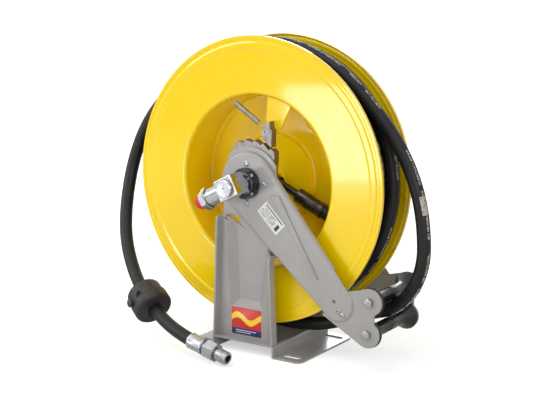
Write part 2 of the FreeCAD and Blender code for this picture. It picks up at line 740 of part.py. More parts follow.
def make_ratchet():
    """Toothed sector screwed to the back of the front upright."""
    owner = new_body("ratchet_sector")
    outline = []
    for tooth in range(int(size("ratchet_teeth"))):
        tip = f"(ratchet_first - {tooth} * ratchet_pitch)"
        valley = f"({tip} + ratchet_undercut)"
        outline.append((f"ratchet_valley * cos{valley}", f"ratchet_valley * sin{valley}"))
        outline.append((f"ratchet_tip * cos{tip}", f"ratchet_tip * sin{tip}"))
    outline += [("ratchet_right", "ratchet_stop"), ("ratchet_right", "ratchet_root"), ("ratchet_root", "0"),
                ("0", "-ratchet_root"), ("-ratchet_root", "0"),
                ("ratchet_valley * cos(ratchet_first + ratchet_shoulder)",
                 "ratchet_valley * sin(ratchet_first + ratchet_shoulder)")]
    outline.reverse()
    slab(owner, "sector", HUB_BACK, "-ratchet_back", outline)
    slab(owner, "sector_holes", HUB_BACK, "-ratchet_back", cut=True,
         circles=ring_of_four("hub_screw_ring", "hub_screw_shank + screw_gap")
         + [("0", "0", "shaft_radius + body_gap")])


def make_pawl():
    """Pawl, its pin, and the bracket that carries it inside the drum's well."""
    pawl = new_body("pawl", x="pawl_x", z="axle_height + pawl_z")
    slab(pawl, "pawl_plate", "-pawl_front", "-pawl_back", [(str(x), str(z)) for x, z in PAWL_OUTLINE])
    slab(pawl, "pawl_bore", "-pawl_back", "-pawl_front", cut=True,
         circles=[("0", "0", "pawl_pin + running_gap")])
    bracket = new_body("pawl_bracket")
    back = "-bracket_front + bracket_plate"
    outer = "(well_radius - bracket_seat_gap)"
    inner = f"({outer} - bracket_plate)"
    seat = [(f"{radius} * cos({side})", f"{radius} * sin({side})")
            for radius, side in ((outer, "bracket_right_angle"), (outer, "bracket_left_angle"),
                                 (inner, "bracket_left_angle"), (inner, "bracket_right_angle"))]
    plate = [seat[0] + (outer, 1), seat[1], ("pawl_x - pawl_boss", "pawl_z + pawl_pin"),
             ("pawl_x - pawl_pin", "pawl_z - pawl_boss"),
             ("pawl_x + pawl_boss + pawl_pin", "pawl_z - pawl_pin")]
    slab(bracket, "bracket_plate_pad", "-bracket_front", back, plate)
    foot = [seat[0] + (outer, 1), seat[1], seat[2] + (inner, -1), seat[3]]
    slab(bracket, "bracket_foot_pad", back, f"{back} + bracket_foot", foot)
    slab(bracket, "bracket_boss", "-bracket_front", "-pawl_back + body_gap",
         circles=[("pawl_x", "pawl_z", "pawl_boss")])
    slab(bracket, "bracket_bore", back, "-pawl_back", circles=[("pawl_x", "pawl_z", "pawl_pin")], cut=True)
    pin = new_body("pawl_pivot_pin", x="pawl_x", z="axle_height + pawl_z")
    slab(pin, "pin_shank", "-pawl_front", back, circles=[("0", "0", "pawl_pin")])
    slab(pin, "pin_head", back, f"{back} + pawl_pin_head_depth", circles=[("0", "0", "pawl_pin_head")])


def make_pawl_spring():
    """Coil spring from the drum's wall towards the top of the pawl."""
    wire = size("pawl_spring_wire")
    radius = size("pawl_spring_radius")
    pitch = size("pawl_spring_pitch")
    turns = int(size("pawl_spring_turns"))
    seat = "(well_radius - body_gap)"
    wall_end = Vector(size(f"{seat} * cos(pawl_spring_angle)"), -size("pawl_spring_depth"),
                      size(f"{seat} * sin(pawl_spring_angle)"))
    pawl_end = Vector(size("pawl_x - pawl_spring_reach"), -size("(pawl_front + pawl_back) / 2"),
                      size("pawl_z + pawl_spring_rise"))
    span = pawl_end - wall_end
    axis = Vector(span).normalize()
    side = axis.cross(Z_AXIS).normalize()
    up = side.cross(axis)
    start = (span.Length - pitch * turns) / 2

    def point(half_turns):
        angle = math.pi * half_turns
        return (wall_end + axis * (start + pitch * half_turns / 2)
                + (side * math.cos(angle) + up * math.sin(angle)) * radius)

    def heading(half_turns):
        angle = math.pi * half_turns
        around = (up * math.cos(angle) - side * math.sin(angle)) * radius
        return (around + axis * (pitch / (2 * math.pi))).normalize()

    tail = size("pawl_spring_tail")
    edges = [Part.LineSegment(point(0) - heading(0) * tail, point(0)).toShape()]
    for half in range(2 * turns):
        edges += biarc(point(half), heading(half), point(half + 1), heading(half + 1))
    last = point(2 * turns)
    edges.append(Part.LineSegment(last, last + heading(2 * turns) * tail).toShape())
    around = [point(2 * step / SAMPLES_PER_TURN) for step in range(SAMPLES_PER_TURN * turns + 1)]
    print(f"pawl_spring least gap {least_gap(around, wire, SAMPLES_PER_TURN * 3 // 4):.2f} mm")
    hook_from = tube([Part.LineSegment(wall_end, point(0) - heading(0) * tail).toShape()], wire)
    hook_to = tube([Part.LineSegment(last + heading(2 * turns) * tail, pawl_end).toShape()], wire)
    coil = tube(edges, wire)
    solid_node("pawl_spring", coil.fuse([hook_from, hook_to]))


def flange_profile(side, inner):
    """Beaded disc from the inner radius to the rolled rim. Side is -1 for the front."""
    inset = "drum_radius - "
    bands = [(inset + "step_width", "flange_face"), (inset + "bead_inner", "rim_face"),
             (inset + "bead_outer", "rim_face"), (inset + "groove_inner", "flange_face"),
             (inset + "groove_outer", "flange_face"), (inset + "curl_width", "rim_face")]
    outside = [(radius, f"{side} * ({face})") for radius, face in bands]
    inside = [(radius, f"{side} * ({face} - flange_sheet)") for radius, face in bands]
    rim = [("drum_radius", f"{side} * rim_face"), ("drum_radius", f"{side} * (rim_face - rim_lip)"),
           (inset + "flange_sheet", f"{side} * (rim_face - rim_lip)"),
           (inset + "flange_sheet", f"{side} * (rim_face - flange_sheet)")]
    start = [(inner, f"{side} * flange_face")]
    end = [(inner, f"{side} * (flange_face - flange_sheet)")]
    if side < 0:
        start = [("well_radius", "-well_lip"), ("well_radius", "-flange_face")]
        end = [("well_radius + well_wall", "-flange_face + flange_sheet"),
               ("well_radius + well_wall", "-well_lip")]
    return start + outside + rim + inside[::-1] + end


def make_drum():
    front = new_body("front_flange")
    turned(front, "front_disc", flange_profile(-1, "well_radius"))
    round_off(front, "mouth_edge", "mouth_round",
              lambda edge: near(edge.BoundBox.YMax, "-flange_face")
              and near(edge.BoundBox.XMax, "well_radius", 0.1))
    rear = new_body("rear_flange")
    turned(rear, "rear_disc", flange_profile(1, "well_radius - well_wall + body_gap"))
    make_drum_core()
    inner_layers = new_body("hose_inner_layers")
    inside = "well_radius + well_wall + inner_layers_gap"
    turned(inner_layers, "inner_layers", [
        (inside, "-pack_front"), ("inner_layers_radius", "-pack_front"),
        ("inner_layers_radius", "pack_front"), (inside, "pack_front")])


def make_drum_core():
    """Well wall and back disc with its round boss, and the hole for the inner end of the hose."""
    owner = new_body("drum_core_blank", kept=False)
    outer = "well_radius + well_wall"
    wall = "well_wall"
    lining = f"{outer} - {wall} - body_gap"
    disc_back = f"disc_face + {wall}"
    boss_back = f"boss_face + {wall}"
    hub_back = f"hub_boss_face + {wall}"
    turned(owner, "core", [
        ("well_radius", "-well_lip"), ("well_radius - well_draft", "disc_face"),
        ("boss_radius + boss_slope", "disc_face"), ("boss_radius", "boss_face"),
        ("hub_boss + boss_slope", "boss_face"), ("hub_boss", "hub_boss_face"),
        ("shaft_radius", "hub_boss_face"), ("shaft_radius", hub_back),
        (f"hub_boss + {wall} / 2", hub_back), (f"hub_boss + boss_slope + {wall} / 2", boss_back),
        (f"boss_radius - {wall}", boss_back), (f"boss_radius + boss_slope - {wall}", disc_back),
        (lining, disc_back), (lining, "case_joint"), (outer, "case_joint"), (outer, "-well_lip")])
    round_off(owner, "well_corner", "disc_round",
              lambda edge: near(edge.BoundBox.YMax, "disc_face") and near(edge.BoundBox.YMin, "disc_face")
              and edge.BoundBox.XMax > size("boss_radius"))
    hole = doc.addObject("Part::Cylinder", "feed_hole")
    hole.setExpression("Radius", bound("hose_radius + feed_hole_gap"))
    hole.setExpression("Height", bound("drum_radius"))
    hole.Placement = Placement(Vector(), feed_rotation(Z_AXIS))
    place(hole)
    boolean("Cut", "drum_core", owner, hole)


def feed_rotation(own_axis):
    """Rotation that points the piece's own axis along the inner end of the hose."""
    angle = math.radians(size("feed_angle"))
    return Rotation(own_axis, Vector(math.cos(angle), 0, math.sin(angle)))


def make_feed():
    """Pipe from the shaft, its nut, the ferrule and the stub of hose through the well wall."""
    shaft_tool = doc.addObject("Part::Cylinder", "shaft_space")
    shaft_tool.setExpression("Radius", bound("shaft_radius"))
    shaft_tool.setExpression("Height", bound("2 * rim_face"))
    shaft_tool.Placement = Placement(Vector(), Rotation(Z_AXIS, Y_AXIS))
    place(shaft_tool, y="-rim_face")
    pieces = {
        "feed_pipe": [("0", "0"), ("feed_radius", "0"), ("feed_radius", "feed_nut_start"),
                      ("feed_nut", "feed_nut_start"), ("feed_nut", "feed_ferrule_start"),
                      ("0", "feed_ferrule_start")],
        "inner_ferrule": [("0", "feed_ferrule_start"), ("feed_ferrule", "feed_ferrule_start"),
                          ("feed_ferrule", "feed_hose_start"), ("0", "feed_hose_start")],
        "inner_hose_tail": [("0", "feed_hose_start"), ("hose_radius", "feed_hose_start"),
                            ("hose_radius", "well_radius + well_wall"), ("0", "well_radius + well_wall")],
    }
    for name, profile in pieces.items():
        owner = new_body(name, kept=name != "feed_pipe")
        owner.Placement = Placement(Vector(), feed_rotation(Y_AXIS))
        place(owner)
        turned(owner, f"{name}_turned", profile)
        if name == "feed_pipe":
            owner.Label = "feed_pipe_blank"
            boolean("Cut", "feed_pipe_cut", owner, shaft_tool).Label = "feed_pipe"


def make_shaft():
    """Hollow shaft, its circlip, the fixed arbor at the rear and the bush that runs on it."""
    arbor_bore = "arbor_radius + running_gap"
    shaft = new_body("hub_shaft")
    turned(shaft, "shaft", [
        ("shaft_bore", "-shaft_front"), ("shaft_radius", "-shaft_front"),
        ("shaft_radius", "hub_boss_face + well_wall"), ("shaft_collar", "hub_boss_face + well_wall"),
        ("shaft_collar", "shaft_collar_end"), (arbor_bore, "shaft_collar_end"),
        (arbor_bore, "arbor_start - body_gap"), ("0", "arbor_start - body_gap"),
        ("0", "shaft_bore_end"), ("shaft_bore", "shaft_bore_end")])
    clip = new_body("shaft_circlip")
    clip_back = f"{BEARING_FRONT} - body_gap"
    turned(clip, "circlip", [
        ("shaft_radius", f"{clip_back} - circlip_depth"), ("circlip_radius", f"{clip_back} - circlip_depth"),
        ("circlip_radius", clip_back), ("shaft_radius", clip_back)])
    arbor = new_body("spring_arbor")
    turned(arbor, "arbor", [
        ("0", "arbor_start"), ("arbor_radius", "arbor_start"), ("arbor_radius", "arbor_end"),
        ("0", "arbor_end")])
    bush = new_body("rear_bush")
    turned(bush, "bush", [
        (arbor_bore, "rear_bush_start"), ("rear_bush", "rear_bush_start"), ("rear_bush", "rim_face"),
        (arbor_bore, "rim_face")])
    cover = new_body("spring_case_cover")
    edge = "well_radius - well_wall"
    turned(cover, "cover", [
        ("rear_bush", "case_joint"), (edge, "case_joint"), (edge, "flange_face"),
        ("rear_bush", "flange_face")])
    screws = [(f"cover_screw_ring * cos({angle})", f"cover_screw_ring * sin({angle})")
              for angle in range(30, 390, 60)]
    make_screws("case_cover_screws", screws, "flange_face", "cover_screw_head", "cover_screw_depth")


def make_power_spring():
    """Flat spiral in its case: half turns round two centres, half a pitch apart."""
    pitch = size("spring_pitch")
    strip = size("spring_strip")
    first = size("spring_first")
    halves = 2 * int(size("spring_turns"))
    front = size("shaft_collar_end + body_gap")

    def side_edges(offset):
        edges = []
        x = first + offset
        for half in range(halves):
            radius = first + offset + pitch * half / 2 + pitch / 4
            direction = 1 if half % 2 == 0 else -1
            centre_x = x - direction * radius
            top = Vector(centre_x, front, direction * radius)
            end = Vector(centre_x - direction * radius, front, 0)
            edges.append(Part.Arc(Vector(x, front, 0), top, end).toShape())
            x = end.x
        return edges, x

    inside, inside_end = side_edges(0)
    outside, outside_end = side_edges(strip)
    ends = [Part.LineSegment(Vector(first, front, 0), Vector(first + strip, front, 0)).toShape(),
            Part.LineSegment(Vector(inside_end, front, 0), Vector(outside_end, front, 0)).toShape()]
    outline = Part.Wire(Part.__sortEdges__(inside + outside + ends))
    solid_node("power_spring", Part.Face(outline).extrude(Y_AXIS * size("spring_width")))


def make_wound_hose():
    """Outer layer on the pack: level strands that step across by one pitch in half a turn."""
    radius = size("hose_radius")
    ring = size("winding_radius")
    pitch = size("winding_pitch")
    strands = int(size("winding_strands"))
    start = math.radians(size("winding_start"))
    first = -pitch * (strands - 1) / 2
    quarters = 4 * strands - 2

    def across(quarter):
        """Place along Y and its slope, after a number of quarter turns."""
        strand, part = divmod(quarter, 4)
        if part <= 2:
            return first + pitch * strand, 0.0
        share = math.pi * (part - 2) / 2
        return first + pitch * (strand + (1 - math.cos(share)) / 2), pitch / 2 * math.sin(share)

    def point(quarter):
        angle = start + math.pi / 2 * quarter
        return Vector(ring * math.cos(angle), across(quarter)[0], ring * math.sin(angle))

    def heading(quarter):
        angle = start + math.pi / 2 * quarter
        return Vector(-ring * math.sin(angle), across(quarter)[1], ring * math.cos(angle)).normalize()

    edges = [Part.LineSegment(point(0) - heading(0) * 2 * radius, point(0)).toShape()]
    for quarter in range(quarters):
        edges += biarc(point(quarter), heading(quarter), point(quarter + 1), heading(quarter + 1))
    last = point(quarters)
    edges.append(Part.LineSegment(last, last + heading(quarters) * 2 * radius).toShape())
    points = [edge.valueAt(edge.FirstParameter
                           + (edge.LastParameter - edge.FirstParameter) * step / SAMPLES_PER_EDGE)
              for edge in edges for step in range(SAMPLES_PER_EDGE)]
    print(f"wound_hose least gap {least_gap(points, radius, 5 * SAMPLES_PER_EDGE // 2):.2f} mm")
    solid_node("wound_hose", tube(edges, radius))


def hose_edges():
    """Straight runs of the route, joined by tangent arcs."""
    points = [Vector(*point) for point in ROUTE_TO_STOP + ROUTE_FROM_STOP]
    edges = []
    here = points[0]
    radii = []
    for before, corner, after in zip(points, points[1:], points[2:]):
        into, out = (corner - before), (after - corner)
        reach = BEND_SHARE * min(into.Length, out.Length)
        radii.append(reach / math.tan(into.getAngle(out) / 2))
        into.normalize()
        out.normalize()
        bend_start = corner - into * reach
        edges.append(Part.LineSegment(here, bend_start).toShape())
        here = corner + out * reach
        edges.append(arc_edge(bend_start, into, here))
    edges.append(Part.LineSegment(here, points[-1]).toShape())
    print("free_hose bend radii", [round(radius) for radius in radii])
    return edges


def along(name, profile, point, direction, kept=True):
    """Piece turned round a line of the hose: its own Y axis lies along direction."""
    owner = new_body(name, kept=kept)
    owner.Placement = Placement(Vector(), Rotation(Y_AXIS, direction))
    place(owner, str(point.x), str(point.y), f"axle_height + {point.z}")
    turned(owner, f"{name}_turned", profile)
    return owner


def make_free_hose():
    """The hose off the pack, with its stop, ferrule and threaded end."""
    hose = solid_node("free_hose", tube(hose_edges(), size("hose_radius")))
    before, after = Vector(*ROUTE_TO_STOP[-1]), Vector(*ROUTE_FROM_STOP[0])
    middle, lie = (before + after) / 2, (after - before).normalize()
    half = "stop_length / 2"
    stop = along("hose_stop_blank", [
        ("0", f"-{half}"), ("stop_radius", f"-{half}"), ("stop_radius", half), ("0", half)],
        middle, lie, kept=False)
    round_off(stop, "stop_edges", "stop_edge", lambda edge: near(edge.BoundBox.XMax, "stop_radius"))
    boolean("Cut", "hose_stop", stop, hose)
    side = lie.cross(Z_AXIS).normalize()
    bolt = new_body("hose_stop_bolt")
    bolt.Placement = Placement(Vector(), Rotation(Y_AXIS, side))
    head = middle + side * size("stop_radius")
    place(bolt, str(head.x), str(head.y), f"axle_height + {head.z}")
    slab(bolt, "stop_bolt_head_pad", "0", "stop_bolt_head", hexagon("0", "0", "bolt_across"))
    end = Vector(*ROUTE_FROM_STOP[-1])
    lie = (end - Vector(*ROUTE_FROM_STOP[-2])).normalize()
    ferrule = along("hose_ferrule_blank", [
        ("0", "ferrule_start"), ("ferrule_radius", "ferrule_start"), ("ferrule_radius", "ferrule_end"),
        ("0", "ferrule_end")], end, lie, kept=False)
    boolean("Cut", "hose_ferrule", ferrule, hose)
    fitting = along("hose_end_fitting", [
        ("0", "ferrule_end"), ("fitting_neck", "ferrule_end"), ("fitting_neck", "fitting_hex_end"),
        ("fitting_collar", "fitting_hex_end"), ("fitting_collar", "thread_start"),
        ("thread_radius", "thread_start"), ("thread_radius", "thread_end"), ("0", "thread_end")], end, lie)
    slab(fitting, "fitting_hex_pad", "fitting_hex_start", "fitting_hex_end", hexagon("0", "0", "fitting_hex"))
    slab(fitting, "fitting_bore_cut", "thread_end", "ferrule_end + sheet_wall", cut=True,
         circles=[("0", "0", "fitting_bore")])


def make_swivel():
    """Swivel block on the shaft, with an inlet port that a red cap closes."""
    turn = Rotation(Y_AXIS, -size("inlet_angle"))
    middle = "-(block_front + block_back) / 2"
    block = new_body("swivel_body")
    block.Placement = Placement(Vector(), turn)
    place(block)
    half, width = "block_length / 2", "block_width / 2"
    slab(block, "block", "-block_front", "-block_back", box_outline(f"-{half}", half, f"-{width}", width))
    round_off(block, "block_edges", "block_edge", lambda edge: True)
    clip_front = f"{BEARING_FRONT} - 2 * body_gap - circlip_depth"
    slab(block, "neck", "-block_back", clip_front, circles=[("0", "0", "neck_radius")])
    inlet = new_sketch(block, "inlet_sketch", "XY_Plane")
    add_outline(inlet, [
        ("-block_length / 2 + block_edge", middle),
        ("-block_length / 2 + block_edge", f"{middle} - inlet_boss"),
        ("-inlet_boss_end", f"{middle} - inlet_boss"), ("-inlet_boss_end", f"{middle} - inlet_groove"),
        ("-inlet_groove_end", f"{middle} - inlet_groove"), ("-inlet_groove_end", f"{middle} - inlet_ring"),
        ("-inlet_ring_end", f"{middle} - inlet_ring"), ("-inlet_ring_end", middle)][::-1])
    boss = block.newObject("PartDesign::Revolution", "inlet")
    boss.Profile = inlet
    boss.ReferenceAxis = (inlet, ["Edge8"])
    boss.Angle = 360
    slab(block, "shaft_socket", clip_front, "-shaft_front - body_gap - sheet_wall", cut=True,
         circles=[("0", "0", "shaft_radius + running_gap")])
    for name, depth, radius in (("port", "inlet_port_depth", "inlet_port"),
                                ("passage", "inlet_ring_end", "inlet_bore")):
        sketch = new_sketch(block, f"{name}_sketch", "YZ_Plane", "-inlet_ring_end")
        add_circles(sketch, [(middle, "0", radius)])
        pocket = block.newObject("PartDesign::Pocket", name)
        pocket.Profile = sketch
        pocket.Reversed = True
        pocket.setExpression("Length", bound(depth))
    plug = new_body("swivel_plug")
    turned(plug, "plug", [("0", "-block_front - plug_depth"), ("plug_radius", "-block_front - plug_depth"),
                          ("plug_radius", "-block_front"), ("0", "-block_front")])
    cap = new_body("inlet_cap")
    cap.Placement = Placement(Vector(), turn)
    place(cap)
    seat = "-inlet_ring_end - body_gap"
    profile = new_sketch(cap, "cap_sketch", "XY_Plane")
    add_outline(profile, [
        (f"{seat} - cap_height", middle), (f"{seat} + cap_stem_depth", middle),
        (f"{seat} + cap_stem_depth", f"{middle} - cap_stem"), (seat, f"{middle} - cap_stem"),
        (seat, f"{middle} - cap_radius"), (f"{seat} - cap_height", f"{middle} - cap_radius")][::-1])
    dome = cap.newObject("PartDesign::Revolution", "cap")
    dome.Profile = profile
    dome.ReferenceAxis = (profile, ["Edge5"])
    dome.Angle = 360
    round_off(cap, "cap_dome_edge", "cap_dome",
              lambda edge: near(edge.BoundBox.XMin, f"{seat} - cap_height") and edge.BoundBox.XLength < 1)


def check_and_write():
    doc.recompute()
    failed = [item.Label for item in doc.Objects if {"Invalid", "Error"} & set(item.State)]
    for node in nodes:
        if node.Shape.isNull() or not node.Shape.isValid() or not node.Shape.Solids:
            failed.append(node.Label + " shape")
    if failed:
        raise RuntimeError("not built: " + ", ".join(failed))
    os.makedirs("parts", exist_ok=True)
    for node in nodes:
        node.Shape.exportStep(f"parts/{node.Label}.step")
    print(len(nodes), "nodes written")


make_base()
make_upright()
make_guide_arm()
make_roller_bracket()
for lobe_name in ("upper", "lower"):
    make_roller(lobe_name)
make_bearing_flange("front_bearing_flange", 1, "shaft_radius + running_gap")
make_bearing_flange("rear_bearing_flange", -1, "arbor_radius")
make_frame_screws()
make_ratchet()
make_pawl()
make_pawl_spring()
make_drum()
make_feed()
make_shaft()
make_power_spring()
make_wound_hose()
make_free_hose()
make_swivel()
check_and_write()
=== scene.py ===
# %% [markdown]
# # Dressing a hose reel
# A steel floor frame carries a yellow drum with rubber hose on it. The shapes of the metal parts come
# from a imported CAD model, which is loaded here and never moved. This notebook gives them their
# finishes, and builds by hand what a CAD solid can only hint at: the hose, its fittings, the screws,
# the rollers and the labels.

# %% Load the frame
import math
import random

import bmesh
import bpy
from mathutils import Matrix, Vector


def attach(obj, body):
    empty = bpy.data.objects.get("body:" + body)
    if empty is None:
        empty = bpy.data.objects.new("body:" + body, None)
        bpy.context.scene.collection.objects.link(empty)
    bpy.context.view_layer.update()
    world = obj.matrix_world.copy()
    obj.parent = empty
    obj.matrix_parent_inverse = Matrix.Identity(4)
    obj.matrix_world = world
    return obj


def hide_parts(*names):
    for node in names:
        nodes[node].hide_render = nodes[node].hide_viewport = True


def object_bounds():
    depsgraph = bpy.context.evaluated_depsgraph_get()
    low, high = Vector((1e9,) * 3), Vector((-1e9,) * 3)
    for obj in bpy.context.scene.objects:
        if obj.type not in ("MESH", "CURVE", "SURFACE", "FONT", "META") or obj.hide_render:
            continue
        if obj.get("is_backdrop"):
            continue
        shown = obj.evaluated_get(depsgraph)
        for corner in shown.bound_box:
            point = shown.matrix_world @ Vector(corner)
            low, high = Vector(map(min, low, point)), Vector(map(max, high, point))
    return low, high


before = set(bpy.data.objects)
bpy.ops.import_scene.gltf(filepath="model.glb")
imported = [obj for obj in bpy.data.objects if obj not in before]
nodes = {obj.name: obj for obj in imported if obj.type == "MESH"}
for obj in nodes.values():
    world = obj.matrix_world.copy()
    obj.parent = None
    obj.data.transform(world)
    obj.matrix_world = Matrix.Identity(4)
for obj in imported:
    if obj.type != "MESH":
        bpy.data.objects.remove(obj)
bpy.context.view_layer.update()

# %% [markdown]
# ## One set of measures
# Blender works in metres, and a maker measures this reel in millimetres from its axle. A small helper
# turns one into the other, so the numbers below can be read off a drawing. X runs towards the rollers,
# -Y towards the side with the swivel, and Z is up.

# %% Measures from the axle
MM = 0.001
AXLE_HEIGHT = 274.4
TO_FLOOR = Vector((0, 0, AXLE_HEIGHT))


def from_axle(x, y, z):
    """A place in metres from millimetres measured at the axle."""
    return (Vector((x, y, z)) + TO_FLOOR) * MM


print("axle at", tuple(from_axle(0, 0, 0)))

# %% [markdown]
# ## The camera
# The photograph was taken from the right and slightly above, with a long lens that keeps the circles of
# the drum from bulging. The camera is placed by a position and a point it looks at, which is easier to
# adjust than three angles. A very small roll levels it as in the picture.

# %% Camera
CAMERA_PLACE = Vector((1.0399, -1.5642, 0.5860))
CAMERA_TARGET = Vector((-0.0080, 0.0, 0.2360))
CAMERA_ROLL = math.radians(-0.09)

camera_data = bpy.data.cameras.new("camera")
camera_data.lens = 79.1
camera_data.sensor_width = 36
camera_data.clip_end = 200
camera = bpy.data.objects.new("camera", camera_data)
bpy.context.scene.collection.objects.link(camera)
looking = (CAMERA_TARGET - CAMERA_PLACE).to_track_quat("-Z", "Y").to_matrix().to_4x4()
camera.matrix_world = Matrix.Translation(CAMERA_PLACE) @ looking @ Matrix.Rotation(CAMERA_ROLL, 4, "Z")
bpy.context.scene.camera = camera
print("camera distance", (CAMERA_TARGET - CAMERA_PLACE).length)

# %% [markdown]
# ## Wiring helpers
# Every finish here is made of shader nodes. Wiring them in code takes many lines, so one helper makes a
# node, sets its options and plugs in its inputs. An input may be a number, a colour or the output of
# another node.

# %% Node helpers


def add_node(tree, kind, inputs=None, **options):
    """A shader node with its options set, and its inputs plugged in or given a value."""
    made = tree.nodes.new(kind)
    for key, value in options.items():
        setattr(made, key, value)
    for key, value in (inputs or {}).items():
        if isinstance(value, bpy.types.NodeSocket):
            tree.links.new(value, made.inputs[key])
        else:
            made.inputs[key].default_value = value
    return made


def calculate(tree, operation, first, second=0.0, clamp=False):
    """The result of a Math node."""
    made = add_node(tree, "ShaderNodeMath", {0: first, 1: second}, operation=operation, use_clamp=clamp)
    return made.outputs[0]


def multiply(tree, product, *factors):
    """The first value multiplied by each of the others."""
    for factor in factors:
        product = calculate(tree, "MULTIPLY", product, factor)
    return product


def near(tree, value, centre, reach):
    """A mask that is 1 where the value is less than the reach away from the centre."""
    away = calculate(tree, "ABSOLUTE", calculate(tree, "SUBTRACT", value, centre))
    return calculate(tree, "LESS_THAN", away, reach)


def shift_range(tree, value, low, high, to_low=0.0, to_high=1.0):
    """The value moved from one range into another, and kept inside it."""
    made = add_node(tree, "ShaderNodeMapRange", {"Value": value, "From Min": low, "From Max": high,
                                                 "To Min": to_low, "To Max": to_high})
    return made.outputs["Result"]


def between(tree, share, low, high):
    """A value that goes from low to high while the share goes from 0 to 1."""
    return shift_range(tree, share, 0.0, 1.0, low, high)


def noise(tree, place, scale, detail=2.0, distortion=0.0):
    """A cloudy value around one half."""
    made = add_node(tree, "ShaderNodeTexNoise", {"Vector": place, "Scale": scale, "Detail": detail,
                                                 "Distortion": distortion})
    return made.outputs["Fac"]


def object_place(tree):
    """The place on the piece itself, so that a finish moves with its piece."""
    return add_node(tree, "ShaderNodeTexCoord").outputs["Object"]


print("node helpers ready")

# %% [markdown]
# ## Shared effects
# Paint, zinc and rubber look real through the same few effects: edges where the coat is thin or
# rubbed, a fine grain, slow smudges that change the gloss, and dust on what faces up. Each effect is a
# node group, built once, so that every material can use it with its own numbers. A group only puts out
# masks, heights and normals. The shader itself stays in each material.

# %% Group maker
GROUP_SOCKETS = {"number": "NodeSocketFloat", "vector": "NodeSocketVector"}


def new_group(name, inputs, outputs):
    """An empty node group with named sockets, each given as its kind."""
    group = bpy.data.node_groups.new(name, "ShaderNodeTree")
    for title, kind in inputs.items():
        group.interface.new_socket(title, in_out="INPUT", socket_type=GROUP_SOCKETS[kind])
    for title, kind in outputs.items():
        group.interface.new_socket(title, in_out="OUTPUT", socket_type=GROUP_SOCKETS[kind])
    return group, add_node(group, "NodeGroupInput").outputs, add_node(group, "NodeGroupOutput").inputs


def use_group(tree, group, inputs):
    """The outputs of a group placed in a material."""
    return add_node(tree, "ShaderNodeGroup", inputs, node_tree=group).outputs


print("groups can be made")

# %% [markdown]
# ### Soft and worn edges
# A knife-sharp edge never catches light. The Bevel node averages the normals around a point, so an edge
# looks rounded without one new face. Where that rounded normal leans away from the true one, the point
# is close to an edge, and a noise breaks this into the chips and thin spots of a handled part.

# %% Edge group
EDGE_LEAN = (0.01, 0.16)
CHIPPED_SHARE = (0.40, 0.68)

edges_group, given, result = new_group(
    "edges", {"Radius": "number", "Chip Size": "number", "Wear": "number"},
    {"Normal": "vector", "Mask": "number"})
rounded = add_node(edges_group, "ShaderNodeBevel", {"Radius": given["Radius"]}, samples=6)
true_normal = add_node(edges_group, "ShaderNodeNewGeometry").outputs["Normal"]
agreement = add_node(edges_group, "ShaderNodeVectorMath",
                     {0: rounded.outputs["Normal"], 1: true_normal}, operation="DOT_PRODUCT")
lean = calculate(edges_group, "SUBTRACT", 1.0, agreement.outputs["Value"])
near_edge = shift_range(edges_group, lean, *EDGE_LEAN)
chips = noise(edges_group, object_place(edges_group), given["Chip Size"], detail=5.0)
chipped = multiply(edges_group, near_edge, shift_range(edges_group, chips, *CHIPPED_SHARE))
mask = calculate(edges_group, "MULTIPLY", chipped, given["Wear"], clamp=True)
edges_group.links.new(rounded.outputs["Normal"], result["Normal"])
edges_group.links.new(mask, result["Mask"])
print("edges group", len(edges_group.nodes), "nodes")

# %% [markdown]
# ### Grain and smudges
# Sprayed powder dries with a faint orange peel, cast rubber keeps a dry grain, and plating shows a
# cloudy film. All three are noise at some size. One group gives a fine height for the bump and a slow
# smudge for the gloss, both from the same place on the object, so nothing slides when the view turns.

# %% Grain group
SMUDGE_SHARE = (0.3, 0.7)

grain_group, given, result = new_group(
    "grain", {"Place": "vector", "Grain Size": "number", "Smudge Size": "number"},
    {"Height": "number", "Smudge": "number"})
fine = noise(grain_group, given["Place"], given["Grain Size"], detail=3.0)
slow = noise(grain_group, given["Place"], given["Smudge Size"], detail=4.0, distortion=0.6)
grain_group.links.new(fine, result["Height"])
grain_group.links.new(shift_range(grain_group, slow, *SMUDGE_SHARE), result["Smudge"])
print("grain group", len(grain_group.nodes), "nodes")

# %% [markdown]
# ### Dust
# Dust settles on faces that look up and gathers in patches. The mask multiplies the upward share of the
# normal with a patchy noise.

# %% Dust group
FACING_UP = (0.2, 1.0)
DUSTY_SHARE = (0.35, 0.75)

dust_group, given, result = new_group("dust", {"Patch Size": "number", "Amount": "number"},
                                      {"Mask": "number"})
normal = add_node(dust_group, "ShaderNodeNewGeometry").outputs["Normal"]
upward = add_node(dust_group, "ShaderNodeSeparateXYZ", {0: normal}).outputs["Z"]
settled = shift_range(dust_group, upward, *FACING_UP)
patches = noise(dust_group, object_place(dust_group), given["Patch Size"], detail=6.0)
patchy = shift_range(dust_group, patches, *DUSTY_SHARE)
dust_group.links.new(multiply(dust_group, settled, patchy, given["Amount"]), result["Mask"])
print("dust group", len(dust_group.nodes), "nodes")

# %% [markdown]
# ### Tool marks
# A face cut on a lathe keeps fine rings round its axis. The group reads the distance from a piece's own
# Z axis, or along it, and turns it into narrow waves that a noise makes uneven.

# %% Tool mark group
UNEVEN_PER_METRE = 900.0

